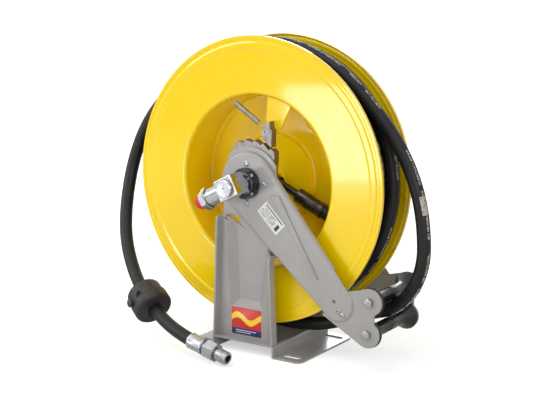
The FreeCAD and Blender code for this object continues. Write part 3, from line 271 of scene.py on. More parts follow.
marks_group, given, result = new_group(
    "tool_marks", {"Place": "vector", "Marks Per Metre": "number"}, {"Height": "number"})
local = add_node(marks_group, "ShaderNodeSeparateXYZ", {0: given["Place"]}).outputs
flat = add_node(marks_group, "ShaderNodeCombineXYZ", {0: local["X"], 1: local["Y"]})
from_axis = add_node(marks_group, "ShaderNodeVectorMath", {0: flat.outputs[0]}, operation="LENGTH")
travel = calculate(marks_group, "ADD", from_axis.outputs["Value"], local["Z"])
waves = calculate(marks_group, "SINE", multiply(marks_group, travel, given["Marks Per Metre"], math.tau))
uneven_place = multiply(marks_group, travel, UNEVEN_PER_METRE)
uneven = add_node(marks_group, "ShaderNodeTexNoise", {"W": uneven_place, "Scale": 1.0, "Detail": 2.0},
                  noise_dimensions="1D")
marks_group.links.new(multiply(marks_group, waves, uneven.outputs["Fac"]), result["Height"])
print("tool marks group", len(marks_group.nodes), "nodes")

# %% [markdown]
# ### The cover of a hose
# Rubber hose is cured wrapped in wet cloth tape, which leaves a fine crossed print and a faint spiral
# edge. Makers also print a pale line of small marks along it. Both need to know where a point lies
# along the hose and around it, so the tubes below carry a UV map that holds exactly that in metres.
# The first half of the group makes the height of the cloth print and of the tape's edge.

# %% Hose cover group
HOSE_RADIUS = 10.75
WEAVE_WAVES = 4200.0
WEAVE_SLOPE = 1.35
WEAVE_SHARE = 0.35
TAPE_SLOPE = 0.62
TAPE_WIDTH = 0.042
TAPE_EDGE = 0.06
PRINT_CELL = 0.0013
PRINT_BAND = 0.0039
WORD_LENGTH = 0.0091
GROUP_LENGTH = 0.0620
EMPTY_CELLS = 0.46
EMPTY_WORDS = 0.28
EMPTY_GROUPS = 0.34
PATCH_MIDDLE = -0.0020
PATCH_REACH = 0.0052
PATCH_HOLES = (0.12, 0.13)


def random_cells(tree, first, second=0.0, seed=0.0):
    """A random number for each whole-numbered cell."""
    place = add_node(tree, "ShaderNodeCombineXYZ", {
        0: calculate(tree, "FLOOR", first), 1: calculate(tree, "FLOOR", second), 2: seed})
    return add_node(tree, "ShaderNodeTexWhiteNoise", {"Vector": place.outputs[0]}).outputs["Value"]


cover_group, given, result = new_group(
    "hose_cover", {"Lengthwise": "number", "Around": "number", "Print Side": "number", "Print": "number",
                   "Patch Start": "number", "Patch End": "number"},
    {"Height": "number", "Print": "number"})


def along_spiral(slope):
    """The way along the hose, with a share of the way around it."""
    return calculate(cover_group, "ADD", given["Lengthwise"], multiply(cover_group, given["Around"], slope))


threads = [calculate(cover_group, "SINE", multiply(cover_group, along_spiral(slope), WEAVE_WAVES))
           for slope in (WEAVE_SLOPE, -WEAVE_SLOPE)]
weave = multiply(cover_group, *threads, WEAVE_SHARE)
tapes = calculate(cover_group, "DIVIDE", along_spiral(TAPE_SLOPE), TAPE_WIDTH)
lap = shift_range(cover_group, calculate(cover_group, "FRACT", tapes), 0.0, TAPE_EDGE, 1.0, 0.0)
cover_group.links.new(calculate(cover_group, "ADD", weave, lap), result["Height"])
print("cloth print", len(cover_group.nodes), "nodes")

# %% [markdown]
# The printed line is a narrow band of small random cells, which read as no letters. Longer cells blank
# out parts of it, as the gaps between words and groups do, and one short patch is printed almost solid.

# %% Printed marks
off_band = calculate(cover_group, "SUBTRACT", given["Around"], given["Print Side"])
band_row = calculate(cover_group, "DIVIDE", off_band, PRINT_CELL)
cells, words, groups = [
    random_cells(cover_group, calculate(cover_group, "DIVIDE", given["Lengthwise"], length), row, seed)
    for length, row, seed in (
        (PRINT_CELL, band_row, 0.0), (WORD_LENGTH, 0.0, 3.0), (GROUP_LENGTH, 0.0, 7.0))]
filled = [calculate(cover_group, "GREATER_THAN", part, empty)
          for part, empty in ((cells, EMPTY_CELLS), (words, EMPTY_WORDS), (groups, EMPTY_GROUPS))]
printed = multiply(cover_group, *filled, near(cover_group, off_band, 0.0, PRINT_BAND / 2))
patch = multiply(
    cover_group, calculate(cover_group, "GREATER_THAN", given["Lengthwise"], given["Patch Start"]),
    calculate(cover_group, "LESS_THAN", given["Lengthwise"], given["Patch End"]),
    near(cover_group, off_band, PATCH_MIDDLE, PATCH_REACH), shift_range(cover_group, cells, *PATCH_HOLES))
marks = multiply(cover_group, calculate(cover_group, "MAXIMUM", printed, patch), given["Print"])
cover_group.links.new(marks, result["Print"])
print("hose cover group", len(cover_group.nodes), "nodes")

# %% [markdown]
# ## Materials
# A photograph gives colours as screen values, while Blender mixes light in linear values, so a helper
# converts them. Each maker below builds one family of finishes: sprayed paint, plated or bare metal,
# moulded plastic and rubber.

# %% Colour and material helpers


def screen_colour(red, green, blue):
    """A linear colour from the 0 to 255 values of a picture."""
    channels = [value / 255 for value in (red, green, blue)]
    return tuple(c / 12.92 if c <= 0.04045 else ((c + 0.055) / 1.055) ** 2.4 for c in channels) + (1.0,)


def mix_colours(tree, share, first, second):
    """Two colours mixed, each a socket or three screen values. They go in sockets 6 and 7."""
    first, second = (screen_colour(*colour) if isinstance(colour, tuple) else colour
                     for colour in (first, second))
    made = add_node(tree, "ShaderNodeMix", {0: share, 6: first, 7: second}, data_type="RGBA")
    return made.outputs[2]


def new_material(name, **fixed):
    """A material whose Principled shader has the given constant inputs."""
    material = bpy.data.materials.new(name)
    material.use_nodes = True
    shader = material.node_tree.nodes["Principled BSDF"]
    for key, value in fixed.items():
        shader.inputs[key.replace("_", " ")].default_value = value
    return material, material.node_tree, shader


def add_edges(tree, radius, chip_size, wear):
    """The edge group placed in a material."""
    return use_group(tree, edges_group, {"Radius": radius, "Chip Size": chip_size, "Wear": wear})


def add_grain(tree, grain_size, smudge_size):
    """The grain group placed in a material, read at the place on the piece."""
    return use_group(tree, grain_group, {"Place": object_place(tree), "Grain Size": grain_size,
                                         "Smudge Size": smudge_size})


def add_dust(tree, patch_size, amount):
    """The dust mask placed in a material."""
    return use_group(tree, dust_group, {"Patch Size": patch_size, "Amount": amount})["Mask"]


def finish_surface(tree, shader, colour, roughness, height, depth, normal=None):
    """Wires the changing colour, gloss and bump into the shader."""
    tree.links.new(colour, shader.inputs["Base Color"])
    tree.links.new(roughness, shader.inputs["Roughness"])
    bump = add_node(tree, "ShaderNodeBump", {"Height": height, "Distance": depth, "Strength": 1.0})
    if normal:
        tree.links.new(normal, bump.inputs["Normal"])
    tree.links.new(bump.outputs["Normal"], shader.inputs["Normal"])


print("white is", screen_colour(255, 255, 255))

# %% [markdown]
# ### Powder paint
# The drum and the frame are sprayed with powder and baked. The coat is smooth with a faint orange peel,
# thin at sharp edges, and carries a little dust. The same maker gives the bright yellow and the warm
# grey, with the shade of the thin edge given for each.

# %% Paint


def powder_paint(name, colour, deep, edge, dust_colour, gloss, peel, wear, **fixed):
    """Sprayed paint in two close shades, with the shade of its thin edges and of its dust."""
    material, tree, shader = new_material(name, **fixed)
    edges = add_edges(tree, radius=0.0010, chip_size=240.0, wear=wear)
    grain = add_grain(tree, grain_size=900.0, smudge_size=14.0)
    dust = add_dust(tree, patch_size=60.0, amount=0.10)
    body = mix_colours(tree, grain["Smudge"], colour, deep)
    rubbed = mix_colours(tree, edges["Mask"], body, edge)
    dusty = mix_colours(tree, dust, rubbed, dust_colour)
    dulled = calculate(tree, "ADD", between(tree, grain["Smudge"], gloss - 0.03, gloss + 0.04),
                       multiply(tree, dust, 0.9))
    finish_surface(tree, shader, dusty, dulled, grain["Height"], peel, edges["Normal"])
    return material


yellow_paint = powder_paint(
    "sprayed_yellow", (255, 219, 0), (254, 213, 0), (236, 166, 4), (226, 206, 150), gloss=0.26,
    peel=0.00002, wear=0.5, Specular_IOR_Level=0.2, Coat_Weight=0.9, Coat_Roughness=0.07)
grey_paint = powder_paint(
    "sprayed_grey", (166, 163, 161), (159, 156, 155), (208, 206, 204), (190, 186, 178), gloss=0.30,
    peel=0.00003, wear=0.7, Specular_IOR_Level=0.5, Coat_Weight=0.6, Coat_Roughness=0.16)
print("paints", yellow_paint.name, grey_paint.name)

# %% [markdown]
# ### Metal
# Screws, ratchet and fittings are zinc plated: bright, slightly blue, and cloudy where the film is
# thicker. The swivel is machined and polished, and the springs are darker. Metal takes its colour only
# from reflections, so the gloss must vary or it looks like plastic.

# %% Metal


def plated_metal(name, colour, cloudy, gloss, spread, wear, depth=0.000008, marks=0.0):
    """Bright metal under a cloudy film. Marks counts the tool marks in a metre."""
    material, tree, shader = new_material(name, Metallic=1.0)
    edges = add_edges(tree, radius=0.0004, chip_size=500.0, wear=wear)
    grain = add_grain(tree, grain_size=1500.0, smudge_size=120.0)
    body = mix_colours(tree, grain["Smudge"], colour, cloudy)
    bright = mix_colours(tree, edges["Mask"], body, (232, 233, 235))
    height = grain["Height"]
    if marks:
        rings = use_group(tree, marks_group, {"Place": object_place(tree), "Marks Per Metre": marks})
        height = calculate(tree, "ADD", height, rings["Height"])
    roughness = between(tree, grain["Smudge"], gloss, gloss + spread)
    finish_surface(tree, shader, bright, roughness, height, depth, edges["Normal"])
    return material


zinc = plated_metal("zinc_plate", (186, 188, 192), (158, 160, 166), gloss=0.25, spread=0.2, wear=0.6)
cast_steel = plated_metal("cast_steel", (150, 147, 145), (134, 131, 129), gloss=0.36, spread=0.16, wear=0.7,
                          depth=0.00004)
turned_metal = plated_metal("turned_metal", (196, 199, 203), (170, 173, 178), gloss=0.12, spread=0.10,
                            wear=0.5, depth=0.000004, marks=1300.0)
polished_block = plated_metal("polished_block", (208, 210, 213), (188, 190, 194), gloss=0.07, spread=0.06,
                              wear=0.5, depth=0.000002)
dark_steel = plated_metal("dark_steel", (92, 88, 84), (66, 63, 60), gloss=0.26, spread=0.2, wear=0.4)
spring_steel = plated_metal("hardened_spring", (150, 150, 152), (110, 108, 106), gloss=0.3, spread=0.2,
                            wear=0.4)
print("metals", zinc.name, cast_steel.name, turned_metal.name, polished_block.name, spring_steel.name)

# %% [markdown]
# ### Plastic and rubber
# The rollers and bearing flanges are moulded black plastic, glossy with fine scuffs. The cap is softer,
# so light enters it a little. The hose stop is cast rubber, dry and almost grainy. They differ in gloss
# and grain more than in colour.

# %% Plastic and rubber


def moulded(name, colour, scuffed, gloss, spread, grain_size, depth, wear, **fixed):
    """Moulded plastic or rubber, with paler scuffs on its edges."""
    material, tree, shader = new_material(name, **fixed)
    edges = add_edges(tree, radius=0.0006, chip_size=320.0, wear=wear)
    grain = add_grain(tree, grain_size=grain_size, smudge_size=70.0)
    body = mix_colours(tree, edges["Mask"], colour, scuffed)
    dust = add_dust(tree, patch_size=150.0, amount=0.10)
    dusty = mix_colours(tree, dust, body, (150, 145, 138))
    roughness = between(tree, grain["Smudge"], gloss, gloss + spread)
    finish_surface(tree, shader, dusty, roughness, grain["Height"], depth, edges["Normal"])
    return material


black_plastic = moulded("moulded_black", (20, 20, 21), (78, 78, 80), gloss=0.16, spread=0.2,
                        grain_size=1200.0, depth=0.000010, wear=0.5)
red_plastic = moulded("moulded_red", (222, 32, 40), (240, 110, 105), gloss=0.3, spread=0.12,
                      grain_size=900.0, depth=0.00002, wear=0.4, Subsurface_Weight=0.12,
                      Subsurface_Scale=0.004)
cast_rubber = moulded("cast_rubber", (34, 33, 33), (78, 75, 72), gloss=0.46, spread=0.2,
                      grain_size=1400.0, depth=0.00008, wear=0.8)
print("moulded finishes", black_plastic.name, red_plastic.name, cast_rubber.name)

# %% [markdown]
# ### Hose rubber
# The hose is satin black with the cloth print and the pale marks of the cover group. The marks run a
# little to the front of the outside. The free hose and the wound one differ only in how strongly they
# are printed and in the solid patch, so one maker serves both.

# %% Hose rubber
MARK_TURN = -0.0036


def hose_rubber(name, print_share, patch_start=-1.0, patch_end=-1.0):
    """The cover of a hose. The patch runs between two lengths along it, in metres."""
    material, tree, shader = new_material(name, Specular_IOR_Level=0.28)
    tube_map = add_node(tree, "ShaderNodeUVMap", uv_map="tube").outputs["UV"]
    tube_place = add_node(tree, "ShaderNodeSeparateXYZ", {0: tube_map}).outputs
    cover = use_group(tree, cover_group, {
        "Lengthwise": tube_place["X"], "Around": tube_place["Y"], "Print Side": MARK_TURN,
        "Print": print_share, "Patch Start": patch_start, "Patch End": patch_end})
    grain = add_grain(tree, grain_size=1100.0, smudge_size=45.0)
    rubber = mix_colours(tree, grain["Smudge"], (27, 26, 27), (36, 35, 35))
    dust = add_dust(tree, patch_size=110.0, amount=0.06)
    dusty = mix_colours(tree, dust, rubber, (110, 104, 98))
    marked = mix_colours(tree, cover["Print"], dusty, (222, 214, 198))
    height = calculate(tree, "ADD", multiply(tree, cover["Height"], 0.6), grain["Height"])
    roughness = between(tree, grain["Smudge"], 0.36, 0.52)
    finish_surface(tree, shader, marked, roughness, height, depth=0.00006)
    return material


free_rubber = hose_rubber("free_hose_rubber", print_share=0.7, patch_start=0.574, patch_end=0.602)
wound_rubber = hose_rubber("wound_hose_rubber", print_share=0.5)
print("hose finishes", free_rubber.name, wound_rubber.name)

# %% [markdown]
# ## Building pieces
# A few small builders cover almost every hand-made piece on this reel. Most pieces are rings of points
# joined by faces: shapes turned round an axis here, and tubes and label plates further down. Each piece
# then gets its material and the CAD body that it rides on, and the CAD node it stands for is hidden.

# %% Piece helpers


def finish_piece(piece, material, body, stands_for=(), sharp_angle=38):
    """Shades a new piece, gives it its material and puts it on its body."""
    if piece.name not in bpy.context.scene.collection.objects:
        bpy.context.scene.collection.objects.link(piece)
    piece.data.materials.append(material)
    for polygon in piece.data.polygons:
        polygon.use_smooth = True
    piece.data.set_sharp_from_angle(angle=math.radians(sharp_angle))
    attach(piece, body)
    if stands_for:
        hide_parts(*stands_for)
    return piece


def piece_from_bmesh(name, shape, place=Matrix.Identity(4), weld=False):
    """Turns a bmesh into an object at a place, with all faces looking outward."""
    if weld:
        bmesh.ops.remove_doubles(shape, verts=shape.verts, dist=1e-6)
    bmesh.ops.recalc_face_normals(shape, faces=shape.faces)
    mesh = bpy.data.meshes.new(name)
    shape.to_mesh(mesh)
    shape.free()
    piece = bpy.data.objects.new(name, mesh)
    piece.matrix_world = place
    return piece


def bridge(shape, lower, upper):
    """Faces between two rings of points. A ring of a single point makes triangles."""
    made = []
    for step in range(max(len(lower), len(upper))):
        corners = [lower[step % len(lower)], lower[(step + 1) % len(lower)],
                   upper[(step + 1) % len(upper)], upper[step % len(upper)]]
        corners = [corner for index, corner in enumerate(corners) if corner not in corners[:index]]
        if len(corners) > 2:
            made.append(shape.faces.new(corners))
    return made


def hexagon_reach(half_width, angle):
    """How far a hexagon's edge is from its middle at an angle."""
    return half_width / math.cos((angle + math.pi / 6) % (math.pi / 3) - math.pi / 6)


def turned_rings(shape, profile, steps, at=Matrix.Identity(4)):
    """Adds a shape turned round Z from (radius, height) points in millimetres.

    A point with a third value makes a hexagon of that half width instead of a circle.
    """
    rings = []
    for radius, height, *six_sided in profile:
        ring = []
        for step in range(steps if radius > 1e-6 else 1):
            angle = math.tau * step / steps
            reach = hexagon_reach(radius, angle) if six_sided else radius
            place = Vector((reach * math.cos(angle), reach * math.sin(angle), height)) * MM
            ring.append(shape.verts.new(at @ place))
        rings.append(ring)
    for lower, upper in zip(rings, rings[1:]):
        bridge(shape, lower, upper)


def axis_frame(place, direction):
    """A matrix whose origin is the place in metres and whose Z looks along the direction."""
    return Matrix.Translation(place) @ Vector(direction).to_track_quat("Z", "Y").to_matrix().to_4x4()


def turned_piece(name, profile, place, direction, steps, weld=False):
    """A turned shape as an object with its own axis, so that tool marks can follow it."""
    shape = bmesh.new()
    turned_rings(shape, profile, steps)
    return piece_from_bmesh(name, shape, axis_frame(place, direction), weld)


print("builders ready")

# %% [markdown]
# ## The free hose
# The hose leaves the pack on the drum, passes between the two rollers, climbs over the drum's back and
# hangs down past the frame to its fitting. Its line is a smooth NURBS curve through a few route points,
# which is how a stiff hose bends. A bevelled curve would be quicker, but a swept mesh lets the surface
# know how far along and around every point is, which the cloth print and the marks need.

# %% Line of the free hose
FREE_ROUTE = [
    (-149, 0, -156), (-103, 0, -199), (-40, 0, -228), (34, 0, -238), (104, 0, -231), (169, 0, -203),
    (240, 0, -182), (277, 0, -120), (276, 0, -52), (263, 0, 8), (236, 0, 64), (191, 0, 121),
    (126, 0, 182), (45, 0, 216), (-40, 0, 216), (-124, 0, 185), (-196, 0, 137), (-250, -4, 80),
    (-276, -14, 14), (-274, -38, -52), (-254, -68, -106), (-228, -88, -148), (-192, -107, -186),
    (-134, -131, -221), (-76, -145, -242), (-33, -149.4, -250.3),
]


def nurbs_line(route, resolution):
    """Points in metres along the NURBS curve that has the route as its control points."""
    curve = bpy.data.curves.new("route", "CURVE")
    curve.dimensions = "3D"
    curve.resolution_u = resolution
    spline = curve.splines.new("NURBS")
    spline.points.add(len(route) - 1)
    for point, place in zip(spline.points, route):
        point.co = (*from_axle(*place), 1.0)
    spline.order_u = 3
    spline.use_endpoint_u = True
    holder = bpy.data.objects.new("route", curve)
    mesh = bpy.data.meshes.new_from_object(holder)
    line = [vertex.co.copy() for vertex in mesh.vertices]
    bpy.data.objects.remove(holder)
    bpy.data.curves.remove(curve)
    return line


def line_length(line):
    """The length of a line of points."""
    return sum((after - before).length for before, after in zip(line, line[1:]))


free_line = nurbs_line(FREE_ROUTE, resolution=14)
print("free hose points", len(free_line), "length", round(line_length(free_line), 4))

# %% [markdown]
# The sweep carries a ring of points along the line. If each ring simply faced along the line, it could
# twist at every bend, and the printed marks would wander round the hose. The ring is therefore turned by
# the smallest rotation from one step to the next. The first ring points away from the axle, so the
# marks start on the outside of the bend, where the photograph shows them.

# %% Swept tube
TUBE_CORNERS = ((0, 0), (0, 1), (1, 1), (1, 0))


def swept_tube(name, line, sides, outward):
    """A closed hose along the line, with a UV map of metres along and around it."""
    shape = bmesh.new()
    radius = HOSE_RADIUS * MM
    tube_map = shape.loops.layers.uv.new("tube")
    travelled = [0.0]
    for before, after in zip(line, line[1:]):
        travelled.append(travelled[-1] + (after - before).length)
    heading = (line[1] - line[0]).normalized()
    across = (outward - heading * outward.dot(heading)).normalized()
    rings = []
    for index, centre in enumerate(line):
        ahead = (line[min(index + 1, len(line) - 1)] - line[max(index - 1, 0)]).normalized()
        across = heading.rotation_difference(ahead) @ across
        heading = ahead
        beside = heading.cross(across)
        ring = []
        for side in range(sides):
            angle = math.tau * side / sides
            spoke = across * math.cos(angle) + beside * math.sin(angle)
            ring.append(shape.verts.new(centre + spoke * radius))
        rings.append(ring)
    for index, (ring, following) in enumerate(zip(rings, rings[1:])):
        for side, face in enumerate(bridge(shape, ring, following)):
            for loop, (step, turn) in zip(face.loops, TUBE_CORNERS):
                part = (side + turn) / sides
                if side >= sides // 2:
                    part -= 1.0
                loop[tube_map].uv = (travelled[index + step], part * math.tau * radius)
    shape.faces.new(rings[0][::-1])
    shape.faces.new(rings[-1])
    return piece_from_bmesh(name, shape)


free_outward = (free_line[0] - from_axle(0, 0, 0)).normalized()
free_hose = swept_tube("free_hose_tube", free_line, 32, free_outward)
finish_piece(free_hose, free_rubber, "frame", ["free_hose"])
print("free hose faces", len(free_hose.data.polygons))

# %% [markdown]
# ## The wound hose
# On the drum the hose lies in level turns that step across by one hose width in half a turn. Points on a
# circle make a NURBS curve that runs slightly inside it, so the radius is raised to suit. Under the top
# layer lie two more, nested in its grooves. They show as dark rounds between the strands, which a
# plain ring would not.

# %% Turns on the drum
POINTS_PER_TURN = 36
STRAND_PITCH = 22.2
TOP_LAYER = 192.25
LAYER_STEP = 18.4
WOUND_START = -30
WOUND_TURNS = 3.5
WOUND_STRANDS = 4
POINT_OUTWARD = 1 / math.cos(math.pi / POINTS_PER_TURN)


def strands_crossed(turned):
    """How many strands to the side a hose lies after some turns: level, then a smooth step."""
    whole, part = divmod(turned, 1)
    share = max(0.0, (part - 0.5) * 2)
    return whole + (1 - math.cos(math.pi * share)) / 2


def wound_route(ring, strands, start, turns, lead):
    """Route of a layer, with a straight lead at both ends."""
    first = -STRAND_PITCH * (strands - 1) / 2
    reach = ring * POINT_OUTWARD
    route = []
    for step in range(round(turns * POINTS_PER_TURN) + 1):
        turned = step / POINTS_PER_TURN
        angle = math.radians(start) + math.tau * turned
        y = first + STRAND_PITCH * strands_crossed(turned)
        route.append(Vector((reach * math.cos(angle), y, reach * math.sin(angle))))
    leads = [end + (end - beside).normalized() * lead for end, beside in (route[:2], route[:-3:-1])]
    return [leads[0], *route, leads[1]]


def wind_layer(name, ring, strands, start, turns, lead, sides, resolution, stands_for):
    """A layer of turns as one swept tube on the drum."""
    line = nurbs_line(wound_route(ring, strands, start, turns, lead), resolution)
    outward = (line[0] - from_axle(0, 0, 0)).normalized()
    layer = swept_tube(name, line, sides, outward)
    finish_piece(layer, wound_rubber, "drum", stands_for)
    print(name, "length", round(line_length(line), 3), "faces", len(layer.data.polygons))


wind_layer("wound_hose_turns", TOP_LAYER, WOUND_STRANDS, WOUND_START, WOUND_TURNS, lead=20.0, sides=28,
           resolution=6, stands_for=["wound_hose"])
wind_layer("second_hose_layer", TOP_LAYER - LAYER_STEP, strands=3, start=20, turns=2.5, lead=4.0, sides=16,
           resolution=3, stands_for=["hose_inner_layers"])
wind_layer("third_hose_layer", TOP_LAYER - 2 * LAYER_STEP, strands=4, start=75, turns=3.5, lead=4.0,
           sides=16, resolution=3, stands_for=())

# %% [markdown]
# The last turn lies on top of the others, in the groove next to the rear disc, and fills the channel as
# in the photograph. Where the turns below step across, it must ride up over them. Its radius is worked
# out from the strands under it at each angle.

# %% Last turn
LAST_TURN_Y = 22.2
LAST_TURN_ANGLES = range(162, 508, 10)
RESTING_GAP = 0.2


def strands_under(angle):
    """The Y of each strand of the top layer at an angle in degrees."""
    part = ((angle - WOUND_START) / 360) % 1
    middle = (WOUND_STRANDS - 1) / 2
    return [STRAND_PITCH * (strands_crossed(whole + part) - middle) for whole in range(WOUND_STRANDS)
            if whole + part <= WOUND_TURNS]


def resting_radius(angle, y):
    """How far from the axle a further strand lies on the top layer."""
    touching = (2 * HOSE_RADIUS) ** 2
    rises = [math.sqrt(max(0.0, touching - (y - under) ** 2)) for under in strands_under(angle)]
    return TOP_LAYER + max([LAYER_STEP] + rises) + RESTING_GAP


last_route = []
for angle in LAST_TURN_ANGLES:
    reach = resting_radius(angle, LAST_TURN_Y) * POINT_OUTWARD
    turned = math.radians(angle)
    last_route.append((reach * math.cos(turned), LAST_TURN_Y, reach * math.sin(turned)))
last_line = nurbs_line(last_route, resolution=6)
last_outward = (last_line[0] - from_axle(0, LAST_TURN_Y, 0)).normalized()
last_turn = swept_tube("last_hose_turn", last_line, 28, last_outward)
finish_piece(last_turn, wound_rubber, "drum", ())
print("last turn length", round(line_length(last_line), 3))

# %% [markdown]
# ## The inner end of the hose
# Inside the drum the hose comes through the well wall to a crimped ferrule and a pipe on the shaft. It
# points a little below level. A short swept tube gives it the same rubber as the rest.

# %% Inner hose tail
FEED_ANGLE = math.radians(-25)
TAIL_START = 110
TAIL_LENGTH = 30
feed_heading = Vector((math.cos(FEED_ANGLE), 0, math.sin(FEED_ANGLE)))
tail_line = [from_axle(*(feed_heading * (TAIL_START + TAIL_LENGTH * step / 8))) for step in range(9)]
inner_tail = swept_tube("inner_hose_end", tail_line, 32, Vector((0, -1, 0)))
finish_piece(inner_tail, wound_rubber, "drum", ["inner_hose_tail"])
print("inner tail from", tuple(tail_line[0]))

# %% [markdown]
# ## Crimped ferrules and the threaded end
# A ferrule is a steel sleeve pressed on the hose by eight jaws, so it has shallow flats with ridges
# between them and a smooth collar at each end. The turned rings below are pulled in between the ridges
# to show this. Beyond it sits a hexagon for the spanner and a half-inch thread, cut as a real helix: the
# radius of each point follows a triangle wave that moves on by one pitch per turn.

# %% Ferrule
JAWS = 8
JAW_BITE = 0.7


def crimped_sleeve(name, radius, start, end, place, heading):
    """A sleeve with pressed flats, along its own Z axis, in millimetres."""
    shape = bmesh.new()
    length = end - start
    profile = [(HOSE_RADIUS * 0.9, start), (radius - 0.9, start), (radius - 0.2, start + 0.6),
               (radius, start + 1.6), (radius, start + length * 0.12),
               (radius - 0.02, start + length * 0.18), (radius - 0.02, start + length * 0.82),
               (radius, start + length * 0.88), (radius, end - 1.2), (radius - 0.8, end),
               (HOSE_RADIUS * 0.8, end)]
    turned_rings(shape, profile, JAWS * 8)
    for vertex in shape.verts:
        pressed = start + length * 0.15 < vertex.co.z / MM < start + length * 0.85
        if pressed and vertex.co.xy.length > (radius - 0.5) * MM:
            angle = math.atan2(vertex.co.y, vertex.co.x)
            ridge = abs(math.cos(angle * JAWS / 2)) ** 6
            vertex.co.xy *= 1 - JAW_BITE * (1 - ridge) / radius
    return piece_from_bmesh(name, shape, axis_frame(place, heading))


end_place = from_axle(*FREE_ROUTE[-1])
end_heading = (Vector(FREE_ROUTE[-1]) - Vector(FREE_ROUTE[-2])).normalized()
end_ferrule = crimped_sleeve("hose_end_ferrule", 13.2, start=-22, end=8, place=end_place,
                             heading=end_heading)
finish_piece(end_ferrule, zinc, "frame", ["hose_ferrule"])
inner_sleeve = crimped_sleeve("inner_end_ferrule", 12.5, start=76, end=TAIL_START, place=from_axle(0, 0, 0),
                              heading=feed_heading)
finish_piece(inner_sleeve, dark_steel, "drum", ["inner_ferrule"])
print("ferrules made")

# %% Threaded end
THREAD_PITCH = 1.814
THREAD_DEPTH = 1.05
THREAD_RADIUS = 10.48
THREAD_START = 37.2
THREAD_END = 56.4
END_BORE = 6.5


def threaded_rings(shape, steps=48, rings_per_pitch=6):
    """Adds the helical thread, open at both ends. It fades out towards them."""
    length = THREAD_END - THREAD_START
    count = round(length / THREAD_PITCH * rings_per_pitch)
    rows = []
    for row in range(count + 1):
        height = length * row / count
        ease = max(0.0, min(1.0, (length - height) / 2.0, height))
        ring = []
        for step in range(steps):
            angle = math.tau * step / steps
            phase = (height / THREAD_PITCH - step / steps) % 1.0
            ridge = abs(phase - 0.5) * 2
            reach = THREAD_RADIUS - THREAD_DEPTH * (1 - ridge * ease)
            place = Vector((reach * math.cos(angle), reach * math.sin(angle), THREAD_START + height))
            ring.append(shape.verts.new(place * MM))
        rows.append(ring)
    for lower, upper in zip(rows, rows[1:]):
        bridge(shape, lower, upper)


thread = bmesh.new()
threaded_rings(thread)
turned_rings(thread, [(9.4, THREAD_END), (9.0, 57), (END_BORE, 57), (END_BORE, 34), (8.6, 34), (8.6, 36.8),
                      (9.4, THREAD_START)], 48)
end_thread = piece_from_bmesh("threaded_hose_end", thread, axis_frame(end_place, end_heading), weld=True)
end_nut = turned_piece(
    "hose_end_hexagon", [(END_BORE, 8), (END_BORE, 33), (12.6, 33), (13.5, 32, "hex"), (13.5, 13, "hex"),
                         (12.6, 12), (9.5, 12), (9.5, 8), (END_BORE, 8)],
    end_place, end_heading, 48, weld=True)
finish_piece(end_thread, zinc, "frame", ["hose_end_fitting"])
finish_piece(end_nut, zinc, "frame", ["hose_end_fitting"], sharp_angle=30)
print("threaded end faces", len(end_thread.data.polygons))

# %% [markdown]
# ## The hose stop
# A rubber ball-like clamp keeps the hose from being pulled through the rollers. It is moulded as two
# halves that close round the hose with a visible joint, rounded shoulders, and deep round pockets for
# the two screws. The body is turned first, a little wider at one end than at the other. Booleans then cut
# the joint, as four thin slits, and the pockets.

# %% Stop body
STOP_RADIUS = 32.0
LOWER_HALF_RADIUS = 29.6
STOP_HALF = 23.0
STOP_CORNER = 6.0
STOP_BORE = HOSE_RADIUS + 0.15
LIP = 1.2
stop_before, stop_after = (Vector(place) for place in FREE_ROUTE[22:24])
stop_place = from_axle(*((stop_before + stop_after) / 2))
stop_heading = (stop_after - stop_before).normalized()
stop_side = stop_heading.cross(Vector((0, 0, 1))).normalized()


def corner_arc(radius, height, corner, start, parts=6):
    """Points of a rounded shoulder, a quarter turn from the start angle in degrees."""
    angles = [math.radians(start + 90 * step / parts) for step in range(parts + 1)]
    return [(radius - corner + corner * math.cos(angle),
             height + corner * math.sin(angle)) for angle in angles]


stop_profile = [
    (STOP_BORE, -STOP_HALF),
    *corner_arc(LOWER_HALF_RADIUS, STOP_CORNER - STOP_HALF, STOP_CORNER, -90),
    (LOWER_HALF_RADIUS, -1.5), (LOWER_HALF_RADIUS - 0.8, -0.6), (STOP_RADIUS - LIP, -0.4),
    *corner_arc(STOP_RADIUS, 0.8, LIP, -90),
    *corner_arc(STOP_RADIUS, STOP_HALF - STOP_CORNER, STOP_CORNER, 0),
    (STOP_BORE + 3.2, STOP_HALF), (STOP_BORE + 2.6, STOP_HALF - LIP), (STOP_BORE, STOP_HALF - LIP),
    (STOP_BORE, -STOP_HALF)]
stop_shape = bmesh.new()
turned_rings(stop_shape, stop_profile, 96)
across_stop = Matrix((stop_side, stop_heading.cross(stop_side), stop_heading)).transposed().to_4x4()
stop_frame = Matrix.Translation(stop_place) @ across_stop
stop = piece_from_bmesh("rubber_hose_stop", stop_shape, stop_frame, weld=True)
bpy.context.scene.collection.objects.link(stop)
print("stop at", tuple(stop_place))

# %% Joint and pockets
SLIT = 0.8


def cutter(shape, name):
    """A shape that cuts the stop, and that is removed afterwards."""
    piece = piece_from_bmesh(name, shape, stop.matrix_world)
    bpy.context.scene.collection.objects.link(piece)
    return piece


def cut_with(piece, tools):
    """Cuts the tools out of the piece for good."""
    bpy.context.view_layer.update()
    for tool in tools:
        modifier = piece.modifiers.new(tool.name, "BOOLEAN")
        modifier.object = tool
        modifier.solver = "EXACT"
    bpy.context.view_layer.update()
    graph = bpy.context.evaluated_depsgraph_get()
    cut = bpy.data.meshes.new_from_object(piece.evaluated_get(graph))
    piece.modifiers.clear()
    piece.data = cut
    for tool in tools:
        bpy.data.objects.remove(tool)


